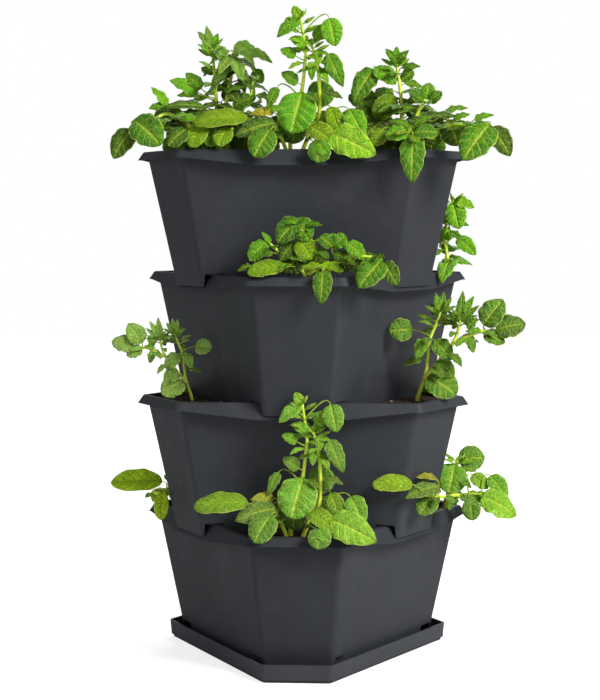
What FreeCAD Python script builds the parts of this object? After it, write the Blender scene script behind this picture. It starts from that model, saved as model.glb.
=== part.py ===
import FreeCAD, Part
import math
import os

V = FreeCAD.Vector

# Driving dimensions, in millimetres. The plan of every pot is a hexagon with
# three short and three long sides; "short" and "long" below are the distances
# from the tower's axis to those sides, measured on the outside of the wall.
TIERS = 4
BASE_SHORT, BASE_LONG = 152.5, 110.0
RIM_SHORT, RIM_LONG = 186.5, 137.5
BASE_CORNER, RIM_CORNER = 8.0, 10.0
POT_HEIGHT = 158.5
NEST_DEPTH = 14.0
PITCH = POT_HEIGHT - NEST_DEPTH
WALL = 2.4
FLOOR = 3.0

# Rim: a flat lip, then an apron that slopes outward and down from it. The
# apron is shallow over the planting pockets and deep along the long sides.
LIP_REACH = 3.8
LIP_CHAMFER = 1.0
APRON_SLOPE = 0.6
APRON_SHEET = 2.6
APRON_SHALLOW, APRON_DEEP = 9.7, 18.6
DEEP_HALF_WIDTH, SHALLOW_FROM = 46.0, 130.0
CUT_FROM_AXIS = 40.0

# Foot: each short side of a pot hangs outside the rim below as a tab. Behind
# it the floor steps up and rests on that rim, which passes through two slots.
STEP_INNER = 132.0
SLOT_OUTER = 151.0
SLOT_HEIGHT = 16.0
DRAIN_RADIUS, DRAIN_CIRCLE, DRAINS = 4.0, 62.0, 6

# Tray
TRAY_SHORT, TRAY_LONG = 175.0, 122.0
TRAY_HEIGHT, TRAY_FLOOR_UNDER, TRAY_FLOOR_TOP = 20.7, 3.2, 5.6
TRAY_TAPER, FOOT_INSET, FOOT_WIDTH = 1.8, 2.2, 3.0
TRAY_CORNER = 6.0
POT_STANDS_AT = 8.0
TRAY_RIBS, RIB_WIDTH, RIB_START, RIB_END = 6, 3.0, 28.0, 104.0

# Potting mix
SOIL_GAP = 0.25
SOIL_BELOW_RIM, TOP_SOIL_BELOW_RIM = 6.0, 13.0
SOIL_CLEAR_OF_POT = 1.2

ABOVE = 1.0
FAR = 260.0

# Plants: every stem is a round rod that thins upward, and every leaf is a
# thin folded blade on its stalk.
STEM_FOOT_RADIUS, STEM_TOP_RADIUS = 3.0, 1.7
ROD_STEPS = 2
STALK_RADIUS = 0.9
LEAF_THICKNESS = 1.2
LEAF_FOLD = 0.10
LEAF_BOW = 0.16
SEWING_GAP = 0.01
STALK_DROP = 0.3
STALK_STEPS, SHORTEST_STALK = 3, 3.0
LOWEST_STALK = 3.0
# How wide the blade is, as shares of its length and of half its full width.
LEAF_OUTLINE = ((0.12, 0.62), (0.38, 1.0), (0.70, 0.72))
SMALL_OUTLINE = ((0.35, 1.0),)

# The leaves that spiral up a stem.
SPIRAL, SHOOT_START = 137.5, 60.0
SHOOT_TAPER, SHOOT_RISE = 0.30, 25.0
STALK_SHARE, SHOOT_WIDTH, YOUNG_WIDTH, SHOOT_FACING = 0.30, 0.48, 0.30, 62.0
TO_LIGHT = 0.7
LOWEST_TIP = 6.0
LINE_STEPS = 4
# Where a leaf is felt for its neighbours: shares of the stalk, and shares of
# the blade's length with its width there.
FELT_STALK = (0.35, 0.70)
FELT_BLADE = ((0.0, 0.35), (0.22, 0.95), (0.45, 1.0), (0.70, 0.75), (0.88, 0.4), (1.0, 0.0))
PLANT_GAP, WALL_GAP = 6.0, 4.5
APRON_FROM, APRON_REACH = 138.0, 15.5

# The plant tables give millimetres as (right, up, outward) from the plant's
# foot at the soil. A leaf is (start of blade, tip, width, facing), and facing
# tilts its upper side from the sky, at 0, to the viewer outside, at 90.
TALL_STEMS = (
    ((0, -20, 0), (1, 16, 1), (7, 38, 2), (14, 64, 4), (18, 95, 7), (19, 111, 8), (14, 147, 13)),
    ((8, -20, 3), (22, 16, 6), (33, 36, 8), (34, 76, 9), (31, 99, 9), (26, 116, 9)),
    ((2, -20, 2), (-8, 10, 12), (-14, 24, 18)),
)
TALL_LEAVES = (
    ((12, 147, 14), (-12, 127, 20), 17, 50),
    ((13, 147, 14), (6, 161, 13), 12, 60),
    ((46, 147, 15), (53, 117, 21), 24, 62),
    ((29, 124, 12), (44, 141, 15), 16, 60),
    ((20, 117, 11), (2, 126, 15), 14, 60),
    ((8, 105, 11), (-9, 113, 15), 13, 55),
    ((33, 111, 12), (34, 95, 16), 10, 80),
    ((44, 107, 12), (61, 71, 18), 20, 60),
    ((35, 89, 11), (46, 86, 14), 9, 50),
    ((26, 94, 10), (26, 78, 14), 9, 80),
    ((10, 75, 9), (-8, 87, 13), 16, 60),
    ((-13, 70, 12), (-24, 45, 18), 13, 50),
    ((-18, 42, 12), (-44, 41, 20), 14, 40),
    ((-15, 31, 20), (-60, 19, 34), 28, 52),
    ((-20, 26, 38), (-37, -2, 52), 32, 60),
    ((15, 64, 12), (3, 21, 30), 45, 65),
    ((20, 61, 0), (51, 60, -3), 30, 70),
    ((-46, 37, 20), (-107, 32, 28), 26, 45),
    ((46, 48, 12), (57, 22, 22), 20, 60),
    ((68, 44, 14), (84, 16, 30), 24, 55),
    ((47, 22, 36), (98, 0, 50), 37, 68),
    ((25, 29, 30), (50, 14, 42), 23, 58),
    ((37, 13, 46), (33, -8, 54), 26, 75),
    ((33, 12, 46), (47, 2, 52), 16, 60),
)
TALL_INNER = (
    ((-4, 32, -8), (-18, 6, -2), 34, 70),
    ((30, 38, -8), (46, 12, -2), 32, 70),
    ((6, 34, 4), (4, 6, 12), 30, 70),
)

BUSHY_STEMS = (
    ((0, -24, 0), (0, 38, 1), (-2, 70, 2), (-7, 101, 2)),
    ((3, -24, 3), (15, 35, 7), (27, 58, 8)),
    ((4, -24, 6), (20, 14, 12), (50, 27, 22), (78, 28, 32)),
    ((-3, -24, 2), (-15, 20, 0), (-33, 46, -4)),
    ((1, -24, 8), (3, 12, 30), (9, 20, 50)),
)
BUSHY_LEAVES = (
    ((-33, 93, 6), (-56, 53, 14), 27, 60),
    ((-31, 95, 5), (-7, 75, 13), 24, 55),
    ((-7, 101, 1), (-19, 117, 5), 11, 55),
    ((-7, 102, 1), (-6, 120, 2), 10, 60),
    ((-6, 101, 2), (8, 115, 5), 11, 55),
    ((-31, 37, 8), (-7, 62, 5), 26, 80),
    ((-43, 52, -8), (-62, 64, -6), 20, 60),
    ((-39, 47, -4), (-59, 36, 4), 20, 60),
    ((-34, 46, -10), (-37, 71, -13), 18, 75),
    ((-22, 22, 40), (-32, 3, 49), 20, 62),
    ((6, 17, 55), (-19, 14, 58), 23, 58),
    ((8, 26, 34), (-16, 32, 38), 11, 40),
    ((14, 27, 32), (34, 37, 35), 11, 40),
    ((14, 17, 54), (41, 17, 58), 25, 50),
    ((12, 14, 58), (11, -40, 63), 29, 88),
    ((25, 56, 8), (8, 69, 12), 18, 60),
    ((28, 58, 6), (32, 77, 7), 18, 70),
    ((32, 55, 9), (46, 66, 13), 16, 55),
    ((48, 42, 14), (75, 47, 22), 16, 30),
    ((20, 33, 20), (64, 37, 30), 18, 30),
    ((58, 33, 30), (77, 39, 35), 13, 40),
    ((99, 27, 40), (68, -14, 56), 40, 65),
    ((82, 33, 36), (104, 38, 39), 12, 40),
    ((101, 24, 34), (122, -9, 44), 27, 55),
    ((-12, 60, -12), (-30, 72, -20), 20, 60),
    ((6, 40, -10), (24, 51, -20), 20, 60),
    ((-8, 20, -8), (-30, 13, -18), 22, 50),
    ((14, 32, -6), (40, 23, -16), 22, 50),
    ((0, 80, -6), (14, 92, -14), 14, 60),
)
BUSHY_INNER = (
    ((-24, 32, 6), (-50, 6, 14), 36, 70),
    ((4, 34, -2), (-10, 4, 6), 34, 70),
    ((28, 36, 0), (40, 6, 8), 36, 70),
    ((54, 34, 6), (64, 4, 16), 34, 70),
    ((-18, 52, -8), (-44, 32, -4), 32, 65),
    ((-46, 20, -6), (-50, -9, 0), 34, 75),
    ((-20, 20, -14), (-20, -9, -8), 36, 75),
    ((8, 20, -22), (10, -9, -16), 36, 75),
    ((34, 20, -36), (36, -9, -30), 34, 75),
)

SPREADING_STEMS = (
    ((0, -24, 0), (-2, 35, 0), (-3, 65, 0), (-7, 118, 2)),
    ((4, -24, 2), (20, 35, 8), (37, 58, 12), (42, 92, 6)),
    ((-4, -24, 2), (-25, 20, 12), (-58, 42, 14), (-80, 26, 28)),
    ((2, -24, 6), (6, 14, 26), (20, 24, 40)),
    ((3, -24, 0), (8, 50, -3), (14, 84, -2), (20, 120, 6)),
)
SPREADING_LEAVES = (
    ((-8, 118, 1), (-24, 138, 5), 12, 55),
    ((-8, 119, 2), (-14, 145, 3), 11, 60),
    ((-6, 118, 2), (0, 136, 5), 11, 60),
    ((-7, 112, 2), (-24, 123, 7), 10, 50),
    ((0, 121, 6), (10, 98, 12), 15, 70),
    ((20, 122, 8), (48, 107, 14), 19, 60),
    ((38, 116, 8), (64, 100, 14), 13, 55),
    ((8, 88, -4), (30, 101, 0), 16, 55),
    ((42, 93, 6), (52, 77, 11), 15, 70),
    ((10, 70, 4), (54, 73, 12), 15, 35),
    ((-24, 68, 4), (-56, 81, 10), 19, 55),
    ((-20, 72, 1), (-38, 90, 4), 17, 65),
    ((-22, 64, 7), (-47, 63, 13), 15, 50),
    ((-59, 53, 9), (-77, 73, 14), 14, 50),
    ((-61, 50, 13), (-79, 48, 18), 13, 45),
    ((-16, 50, 11), (-64, 48, 22), 20, 40),
    ((18, 50, 9), (45, 61, 14), 21, 55),
    ((-12, 28, 38), (-28, 2, 47), 24, 65),
    ((-24, 35, 24), (-53, 37, 30), 14, 40),
    ((-97, 23, 34), (-116, -11, 44), 29, 60),
    ((-92, 33, 38), (-60, 4, 55), 38, 65),
    ((-34, 22, 40), (-53, 3, 48), 24, 62),
    ((4, 60, -14), (22, 71, -28), 20, 60),
    ((-14, 40, -10), (-38, 33, -26), 22, 55),
    ((14, 32, -8), (44, 27, -20), 24, 50),
    ((-6, 90, -8), (-22, 98, -18), 14, 60),
    ((14, 25, 36), (5, 3, 50), 23, 62),
    ((6, 24, 30), (-11, 4, 40), 24, 62),
)
SPREADING_INNER = (
    ((-30, 30, -2), (-58, 8, 6), 36, 70),
    ((-6, 36, 2), (-22, 4, 10), 34, 70),
    ((16, 38, -4), (8, 6, 4), 34, 70),
    ((34, 42, 0), (52, 10, 8), 36, 70),
    ((-44, 46, -10), (-78, 30, -4), 34, 65),
    ((-52, 20, -38), (-54, -9, -32), 34, 75),
    ((-26, 20, -20), (-26, -9, -14), 36, 75),
    ((2, 20, -12), (2, -9, -6), 36, 75),
    ((30, 20, -8), (32, -9, -2), 36, 75),
)

POCKET_STEMS = (
    ((0, -14, 0), (2, 4, 0), (11, 32, 0), (15, 68, 2), (22, 87, 2), (28, 103, 2)),
    ((8, 24, 1), (28, 48, 4), (43, 68, 4), (49, 84, 4), (51, 96, 4)),
    ((44, 66, 4), (60, 75, 6), (76, 81, 8), (92, 80, 9)),
)
POCKET_LEAVES = (
    ((27, 101, 2), (22, 126, 5), 10, 60),
    ((28, 103, 2), (32, 127, 4), 10, 60),
    ((29, 101, 3), (41, 120, 6), 10, 55),
    ((50, 94, 4), (54, 128, 5), 12, 65),
    ((52, 96, 4), (67, 122, 7), 11, 60),
    ((52, 92, 5), (73, 111, 8), 10, 55),
    ((-5, 82, 5), (-32, 81, 12), 27, 70),
    ((8, 71, 6), (0, 48, 12), 15, 65),
    ((21, 70, 8), (41, 48, 14), 23, 65),
    ((25, 46, 7), (43, 28, 12), 21, 65),
    ((14, 27, 5), (46, 8, 20), 38, 60),
    ((60, 83, 7), (70, 97, 9), 11, 55),
    ((61, 74, 9), (66, 56, 12), 12, 65),
    ((78, 88, 9), (100, 118, 10), 31, 60),
    ((92, 82, 11), (126, 90, 12), 29, 60),
    ((78, 78, 11), (102, 68, 14), 22, 55),
)

TRAILING_STEMS = (
    ((-2, -16, -8), (2, 8, -4), (12, 40, 4), (16, 56, 4)),
    ((0, -16, -6), (3, 12, 2), (10, 20, 22), (15, 24, 60), (8, 29, 95), (-10, 31, 120),
     (-30, 38, 148)),
    ((4, 8, 2), (24, 18, 14), (44, 20, 26)),
)
TRAILING_LEAVES = (
    ((13, 54, 8), (5, 20, 22), 38, 62),
    ((18, 58, -6), (50, 60, -10), 31, 70),
    ((34, 41, 5), (53, 25, 12), 20, 55),
    ((56, 40, 7), (76, 14, 16), 24, 55),
    ((44, 18, 30), (86, -5, 32), 35, 50),
    ((30, 22, 16), (45, 10, 24), 13, 55),
    ((30, 16, 42), (33, -8, 48), 23, 70),
    ((-9, 46, 18), (-15, 65, 20), 10, 60),
    ((-12, 52, 118), (-36, 57, 146), 12, 50),
    ((-9, 42, 118), (-49, 36, 168), 21, 55),
    ((-17, 30, 126), (-32, 14, 148), 25, 65),
    ((-40, 51, 161), (-86, 52, 176), 22, 50),
)

EDGE_STEMS = (
    ((0, -14, 0), (2, 16, -4), (5, 34, -9), (6, 46, -14)),
    ((2, -16, 2), (0, 14, 8), (-14, 24, 34), (-17, 25, 62), (4, 27, 92)),
)
EDGE_LEAVES = (
    ((-13, 31, 8), (-77, 29, 10), 30, 60),
    ((-11, 23, 16), (-24, 8, 21), 15, 60),
    ((-1, 31, 96), (-3, -2, 100), 18, 70),
    ((6, 42, -16), (8, 58, -30), 20, 50),
    ((4, 34, -14), (2, 25, -44), 24, 30),
    ((2, 26, -10), (-10, 34, -38), 22, 40),
)

CLIMBING_STEMS = (
    ((0, -14, 0), (1, 21, 1), (-3, 50, 2), (4, 74, 3), (8, 90, 3)),
    ((-6, -16, -9), (4, 14, -2), (6, 20, 22)),
)
CLIMBING_LEAVES = (
    ((8, 89, 5), (15, 57, 11), 27, 70),
    ((10, 92, 3), (34, 83, 7), 17, 45),
    ((5, 73, 5), (12, 89, 6), 10, 60),
    ((1, 43, 5), (3, 61, 8), 10, 60),
    ((14, 46, 4), (36, 25, 10), 20, 55),
    ((4, 20, 26), (-8, -8, 74), 23, 40),
    ((-6, 40, -8), (-20, 60, -38), 24, 50),
    ((0, 30, -8), (10, 34, -42), 26, 30),
    ((4, 62, -4), (-2, 84, -22), 20, 60),
    ((3, 18, -10), (30, 14, -28), 22, 40),
)

FRINGE_STEMS = (
    ((0, -20, 0), (0, 10, 1), (-5, 34, 2), (-10, 52, 3), (-20, 63, 5)),
    ((-3, -20, 2), (-18, 10, 6), (-38, 26, 8), (-52, 38, 10)),
    ((3, -20, 4), (16, 10, 12), (38, 24, 20), (62, 24, 26)),
    ((0, -20, 6), (2, 8, 22), (6, 14, 34)),
)
FRINGE_LEAVES = (
    ((-57, 40, 11), (-75, 19, 16), 22, 60),
    ((-52, 40, 10), (-62, 52, 12), 7, 60),
    ((-20, 66, 6), (-44, 39, 13), 28, 62),
    ((-23, 67, 5), (-8, 41, 12), 26, 62),
    ((-25, 39, 8), (-41, 19, 14), 19, 60),
    ((-19, 43, 10), (-4, 21, 16), 26, 70),
    ((-35, 14, 24), (-76, 6, 36), 22, 62),
    ((-72, 14, 18), (-88, 8, 24), 10, 50),
    ((1, 17, 26), (-11, 5, 34), 13, 60),
    ((14, 18, 28), (8, 4, 36), 10, 60),
    ((16, 18, 28), (28, 6, 36), 11, 60),
    ((18, 36, 14), (4, 47, 18), 17, 60),
    ((19, 36, 14), (34, 47, 18), 18, 60),
    ((18, 38, 12), (19, 51, 13), 12, 65),
    ((35, 40, 18), (55, 21, 25), 19, 55),
    ((20, 27, 16), (46, 16, 24), 17, 55),
    ((9, 9, 43), (7, -28, 47), 22, 88),
    ((73, 20, 30), (48, -10, 43), 31, 65),
    ((75, 18, 27), (91, -8, 35), 21, 55),
)
FRINGE_INNER = (
    ((-18, 26, 4), (-36, 6, 10), 28, 70),
    ((4, 28, 2), (-8, 6, 8), 26, 70),
    ((24, 28, 6), (34, 8, 12), 26, 70),
    ((44, 26, 12), (50, 6, 20), 24, 70),
)

LOW_STEMS = (
    ((2, -20, -2), (20, 20, 8), (46, 32, 16), (72, 26, 24)),
    ((-2, -20, 0), (-20, 20, 6), (-46, 32, 10), (-74, 28, 10)),
    ((0, -20, -4), (8, 20, -20), (22, 34, -42), (32, 30, -64)),
    ((-3, -20, 3), (-8, 20, 18), (-16, 30, 38), (-28, 26, 56)),
    ((1, -20, 1), (4, 24, 0), (8, 48, 2), (6, 68, 4)),
)
LOW_INNER = (
    ((0, 22, 22), (0, -6, 28), 36, 75),
    ((-30, 22, 12), (-32, -6, 16), 34, 75),
    ((30, 22, 12), (32, -6, 16), 34, 75),
    ((0, 22, -20), (0, -6, -14), 36, 75),
)

# The smaller leaves that spiral up the stems: number of the stem, the shares
# of its length where they start and end, how many there are, the length of the
# lowest in millimetres, and how steeply it rises in degrees.
TALL_SHOOTS = (
    (0, 0.18, 0.48, 4, 36, -40),
    (0, 0.66, 0.88, 6, 21, -22),
    (0, 0.86, 1.00, 12, 19, 12),
    (1, 0.20, 0.56, 6, 34, -40),
    (1, 0.70, 0.94, 7, 21, -25),
    (1, 0.90, 1.00, 9, 17, 15),
    (2, 0.55, 1.00, 5, 32, -35),
)
BUSHY_SHOOTS = (
    (0, 0.22, 0.45, 7, 46, -30),
    (0, 0.45, 0.93, 9, 32, -25),
    (0, 0.86, 1.00, 11, 19, 20),
    (1, 0.30, 0.95, 10, 36, -30),
    (2, 0.25, 0.60, 7, 42, -25),
    (2, 0.55, 0.98, 7, 30, -25),
    (3, 0.30, 1.00, 10, 37, -30),
    (4, 0.40, 1.00, 8, 32, -35),
)
SPREADING_SHOOTS = (
    (0, 0.20, 0.45, 8, 46, -30),
    (0, 0.45, 0.90, 9, 34, -30),
    (0, 0.86, 1.00, 11, 19, 20),
    (1, 0.22, 0.55, 8, 42, -30),
    (1, 0.50, 0.95, 10, 33, -35),
    (2, 0.25, 0.60, 8, 42, -20),
    (2, 0.55, 0.98, 8, 32, -25),
    (3, 0.40, 1.00, 7, 34, -30),
    (4, 0.30, 0.75, 9, 38, -35),
    (4, 0.80, 1.00, 11, 40, -60),
)
FRINGE_SHOOTS = (
    (0, 0.20, 0.92, 9, 30, -30),
    (0, 0.95, 1.00, 5, 17, -5),
    (1, 0.30, 1.00, 10, 30, -28),
    (2, 0.25, 1.00, 11, 29, -25),
    (3, 0.45, 1.00, 6, 27, -30),
)
LOW_SHOOTS = tuple((stem, 0.30, 1.00, 9, 38, -20) for stem in range(5))
POCKET_SHOOTS = (
    (0, 0.22, 0.75, 8, 30, -35),
    (0, 0.78, 1.00, 13, 22, 10),
    (1, 0.40, 0.80, 5, 27, -30),
    (1, 0.80, 1.00, 13, 22, 10),
    (2, 0.30, 0.90, 5, 24, -20),
)
TRAILING_SHOOTS = (
    (0, 0.40, 0.85, 6, 33, -35),
    (0, 0.88, 1.00, 6, 20, 15),
    (1, 0.25, 0.95, 10, 30, -30),
    (2, 0.25, 0.95, 6, 28, -25),
)
EDGE_SHOOTS = (
    (0, 0.40, 0.85, 5, 18, -35),
    (0, 0.90, 1.00, 5, 15, 15),
    (1, 0.30, 0.95, 6, 18, -30),
)
CLIMBING_SHOOTS = (
    (0, 0.28, 0.80, 7, 32, -35),
    (0, 0.88, 1.00, 7, 20, 15),
    (1, 0.50, 1.00, 4, 28, -30),
)

KINDS = {
    "tall": (TALL_STEMS, TALL_LEAVES, TALL_INNER, TALL_SHOOTS),
    "bushy": (BUSHY_STEMS, BUSHY_LEAVES, BUSHY_INNER, BUSHY_SHOOTS),
    "spreading": (SPREADING_STEMS, SPREADING_LEAVES, SPREADING_INNER, SPREADING_SHOOTS),
    "fringe": (FRINGE_STEMS, FRINGE_LEAVES, FRINGE_INNER, FRINGE_SHOOTS),
    "low": (LOW_STEMS, (), LOW_INNER, LOW_SHOOTS),
    "pocket": (POCKET_STEMS, POCKET_LEAVES, (), POCKET_SHOOTS),
    "trailing": (TRAILING_STEMS, TRAILING_LEAVES, (), TRAILING_SHOOTS),
    "edge": (EDGE_STEMS, EDGE_LEAVES, (), EDGE_SHOOTS),
    "climbing": (CLIMBING_STEMS, CLIMBING_LEAVES, (), CLIMBING_SHOOTS),
}

# Each plant: name, kind, foot (x, y, z), turn about the vertical,
# forward lean, scale, 1 or -1 for as drawn or mirrored, and how much of the
# spiralling leaves' reach backwards is free, from 0 to 1.
PLANTS = (
    ("top_middle", "tall", (-11, -110, 603), 0, 12, 1.02, 1, 1.0),
    ("top_right", "bushy", (118, -100, 600), 0, 0, 1.0, 1, 1.0),
    ("top_left", "spreading", (-95, -100, 600), 0, 0, 1.0, 1, 1.0),
    ("top_rear_right", "low", (72, 22, 598), 20, 0, 1.0, 1, 1.0),
    ("top_rear_left", "low", (-66, 26, 598), 340, 0, 0.95, 1, 1.0),
    ("third_front", "fringe", (22, -157, 454), 0, 0, 1.0, 1, 0.4),
    ("third_right", "climbing", (173, 45, 451), 0, 0, 1.0, 1, 0.2),
    ("third_left", "pocket", (-138, 72, 451), 240, 0, 0.6, -1, 0.2),
    ("second_left", "pocket", (-128, -77, 309), 0, 0, 0.75, -1, 0.3),
    ("second_right", "pocket", (135, -77, 309), 0, 0, 1.0, 1, 0.3),
    ("second_rear", "tall", (0, 156, 309), 180, 0, 0.8, 1, 0.3),
    ("first_front", "tall", (-8, -155, 165), 0, 0, 1.0, 1, 0.3),
    ("first_right", "trailing", (170, 35, 166), 0, 0, 1.0, 1, 0.2),
    ("first_left", "edge", (-165, 40, 165), 0, 0, 1.0, 1, 0.2),
)


def corner_points(short, long, flipped):
    """The six corners where neighbouring sides of the plan meet."""
    points = []
    for k in range(6):
        first, second = (short, long) if k % 2 == 0 else (long, short)
        angle = math.radians(-90 + 60 * k + (180 if flipped else 0))
        along = (second - first * 0.5) / (math.sqrt(3) / 2)
        points.append((first * math.cos(angle) - along * math.sin(angle),
                       first * math.sin(angle) + along * math.cos(angle)))
    return points


def plan_wire(short, long, z, radius, flipped=False):
    """The plan at one height, with its corners rounded by arcs."""
    points = [V(x, y, z) for x, y in corner_points(short, long, flipped)]
    cut = radius * math.tan(math.radians(30))
    bulge = radius / math.cos(math.radians(30)) - radius
    edges = []
    for k, point in enumerate(points):
        before = (points[k - 1] - point).normalize()
        after = (points[(k + 1) % 6] - point).normalize()
        start, end = point + before * cut, point + after * cut
        middle = point + (before + after).normalize() * bulge
        edges.append(Part.Arc(start, middle, end).toShape())
        nxt = points[(k + 1) % 6]
        edges.append(Part.makeLine(end, nxt - after * cut))
    return Part.Wire(edges)


def frustum(levels, corner, flipped=False):
    """A solid through plans given as (z, short, long)."""
    wires = [plan_wire(short, long, z, corner, flipped) for z, short, long in levels]
    return Part.makeLoft(wires, True, True)


def pot_plan(z, offset=0.0):
    """Distances of the pot wall's outside at height z above the pot's base."""
    share = z / POT_HEIGHT
    return (BASE_SHORT + (RIM_SHORT - BASE_SHORT) * share + offset,
            BASE_LONG + (RIM_LONG - BASE_LONG) * share + offset)


def pot_body(low, high, offset, flipped=False, corner=None):
    """The pot's outer form between two heights, moved out by an offset."""
    radius = corner if corner else BASE_CORNER
    return frustum([(low, *pot_plan(low, offset)), (high, *pot_plan(high, offset))],
                   radius + min(offset, 0.0), flipped)


def side_prism(profile, half_width, angle):
    """A profile of (distance, height) points drawn out along one side."""
    wire = Part.makePolygon([V(-half_width, -d, z) for d, z in profile + profile[:1]])
    prism = Part.Face(wire).extrude(V(2 * half_width, 0, 0))
    prism.rotate(V(0, 0, 0), V(0, 0, 1), angle + 90)
    return prism


def front_prism(profile, near, far, angle):
    """A profile of (sideways, height) points drawn out away from the axis."""
    wire = Part.makePolygon([V(w, -near, z) for w, z in profile + profile[:1]])
    prism = Part.Face(wire).extrude(V(0, near - far, 0))
    prism.rotate(V(0, 0, 0), V(0, 0, 1), angle + 90)
    return prism


SHORT_ANGLES = (-90, 30, 150)
LONG_ANGLES = (-30, 90, 210)


def apron():
    """The sloping skirt and lip, as a ring round the wall."""
    def reach(depth):
        return LIP_REACH + APRON_SLOPE * depth
    low = POT_HEIGHT - APRON_DEEP
    edge = POT_HEIGHT - LIP_CHAMFER

    def level(z, offset):
        return (z, RIM_SHORT + offset, RIM_LONG + offset)
    outer = frustum([level(low, reach(APRON_DEEP)), level(edge, reach(LIP_CHAMFER)),
                     level(POT_HEIGHT, LIP_REACH - LIP_CHAMFER / 2)], RIM_CORNER)
    under = POT_HEIGHT - WALL
    inner = frustum([level(low - ABOVE, reach(APRON_DEEP + ABOVE) - APRON_SHEET),
                     level(under, reach(WALL) - APRON_SHEET)], RIM_CORNER)
    ring = outer.cut(inner)
    bottom = low - 2 * ABOVE
    half = [(DEEP_HALF_WIDTH, low), (SHALLOW_FROM, POT_HEIGHT - APRON_SHALLOW),
            (FAR, POT_HEIGHT - APRON_SHALLOW), (FAR, bottom), (DEEP_HALF_WIDTH, bottom)]
    for angle in LONG_ANGLES:
        for side in (-1, 1):
            profile = [(side * w, z) for w, z in half]
            ring = ring.cut(front_prism(profile, CUT_FROM_AXIS, FAR, angle))
    centre = pot_body(low - 2 * ABOVE, POT_HEIGHT + ABOVE, -WALL / 2, corner=RIM_CORNER)
    return ring.cut(centre)


def pot():
    """One pot, standing on z = 0 with a short side to the front."""
    outer = pot_body(0, POT_HEIGHT, 0)
    cavity = pot_body(FLOOR, POT_HEIGHT + ABOVE, -WALL)
    below = pot_body(-ABOVE, SLOT_HEIGHT + WALL, -WALL)
    shell = outer.cut(cavity)
    step_top = NEST_DEPTH + WALL
    step = [(STEP_INNER - WALL, 0), (FAR, 0), (FAR, step_top), (STEP_INNER - WALL, step_top)]
    hollow = [(STEP_INNER, -ABOVE), (FAR, -ABOVE), (FAR, NEST_DEPTH), (STEP_INNER, NEST_DEPTH)]
    slot = [(STEP_INNER, -ABOVE), (SLOT_OUTER, -ABOVE), (SLOT_OUTER, SLOT_HEIGHT),
            (STEP_INNER, SLOT_HEIGHT)]
    for angle in SHORT_ANGLES:
        shell = shell.fuse(side_prism(step, FAR, angle).common(outer))
    for angle in SHORT_ANGLES:
        shell = shell.cut(side_prism(hollow, FAR, angle).common(below))
        gate = side_prism(slot, FAR, angle).cut(below)
        shell = shell.cut(gate)
    for k in range(DRAINS):
        turn = math.radians(360 / DRAINS * k)
        at = V(DRAIN_CIRCLE * math.cos(turn), DRAIN_CIRCLE * math.sin(turn), -ABOVE)
        shell = shell.cut(Part.makeCylinder(DRAIN_RADIUS, FLOOR + 2 * ABOVE, at))
    shell = shell.cut(Part.makeCylinder(DRAIN_RADIUS, FLOOR + 2 * ABOVE, V(0, 0, -ABOVE)))
    return shell.fuse(apron()).removeSplitter()


def potting_mix(top_tier):
    """The fill of one pot: raised in the pockets, level under the next pot."""
    drop = TOP_SOIL_BELOW_RIM if top_tier else SOIL_BELOW_RIM
    mix = pot_body(FLOOR, POT_HEIGHT - drop, -WALL - SOIL_GAP)
    inner = STEP_INNER - WALL - SOIL_GAP
    step_top = NEST_DEPTH + WALL
    step = [(inner, 0), (FAR, 0), (FAR, step_top), (inner, step_top)]
    for angle in SHORT_ANGLES:
        mix = mix.cut(side_prism(step, FAR, angle))
    if not top_tier:
        upper = pot_body(-SOIL_CLEAR_OF_POT, NEST_DEPTH, SOIL_CLEAR_OF_POT, flipped=True)
        upper.translate(V(0, 0, PITCH))
        mix = mix.cut(upper)
    return mix


def tray():
    """The drip tray, with a foot ring under it and ribs that lift the pot."""
    def level(z, offset):
        lean = -TRAY_TAPER * (TRAY_HEIGHT - z) / TRAY_HEIGHT
        return (z, TRAY_SHORT + lean + offset, TRAY_LONG + lean + offset)
    outer = frustum([level(TRAY_FLOOR_UNDER, 0), level(TRAY_HEIGHT, 0)], TRAY_CORNER)
    inner = frustum([level(TRAY_FLOOR_TOP, -WALL), level(TRAY_HEIGHT + ABOVE, -WALL)],
                    TRAY_CORNER - WALL)
    foot = frustum([level(0, -FOOT_INSET), level(TRAY_FLOOR_UNDER + ABOVE, -FOOT_INSET)],
                   TRAY_CORNER)
    hollow = frustum([level(-ABOVE, -FOOT_INSET - FOOT_WIDTH),
                      level(TRAY_FLOOR_UNDER, -FOOT_INSET - FOOT_WIDTH)], TRAY_CORNER)
    body = outer.fuse(foot).cut(inner).cut(hollow)
    for k in range(TRAY_RIBS):
        rib = Part.makeBox(RIB_END - RIB_START, RIB_WIDTH, POT_STANDS_AT - TRAY_FLOOR_TOP + ABOVE,
                           V(RIB_START, -RIB_WIDTH / 2, TRAY_FLOOR_TOP - ABOVE))
        rib.rotate(V(0, 0, 0), V(0, 0, 1), 360 / TRAY_RIBS * (k + 0.5))
        body = body.fuse(rib)
    return body.removeSplitter()


def in_place(spot, point):
    """A point of a plant table, in the tower's frame."""
    foot, turn, lean, scale, mirror = spot[2:7]
    right, up, out = point[0] * mirror * scale, point[1] * scale, point[2] * scale
    tilt, spin = math.radians(lean), math.radians(turn)
    up, out = up * math.cos(tilt) - out * math.sin(tilt), out * math.cos(tilt) + up * math.sin(tilt)
    return V(foot[0] + right * math.cos(spin) + out * math.sin(spin),
             foot[1] + right * math.sin(spin) - out * math.cos(spin),
             foot[2] + up)


def curve(start, pull, end, share):
    """A point on the bent line from start to end."""
    return start * (1 - share) ** 2 + pull * (2 * share * (1 - share)) + end * share ** 2


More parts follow.
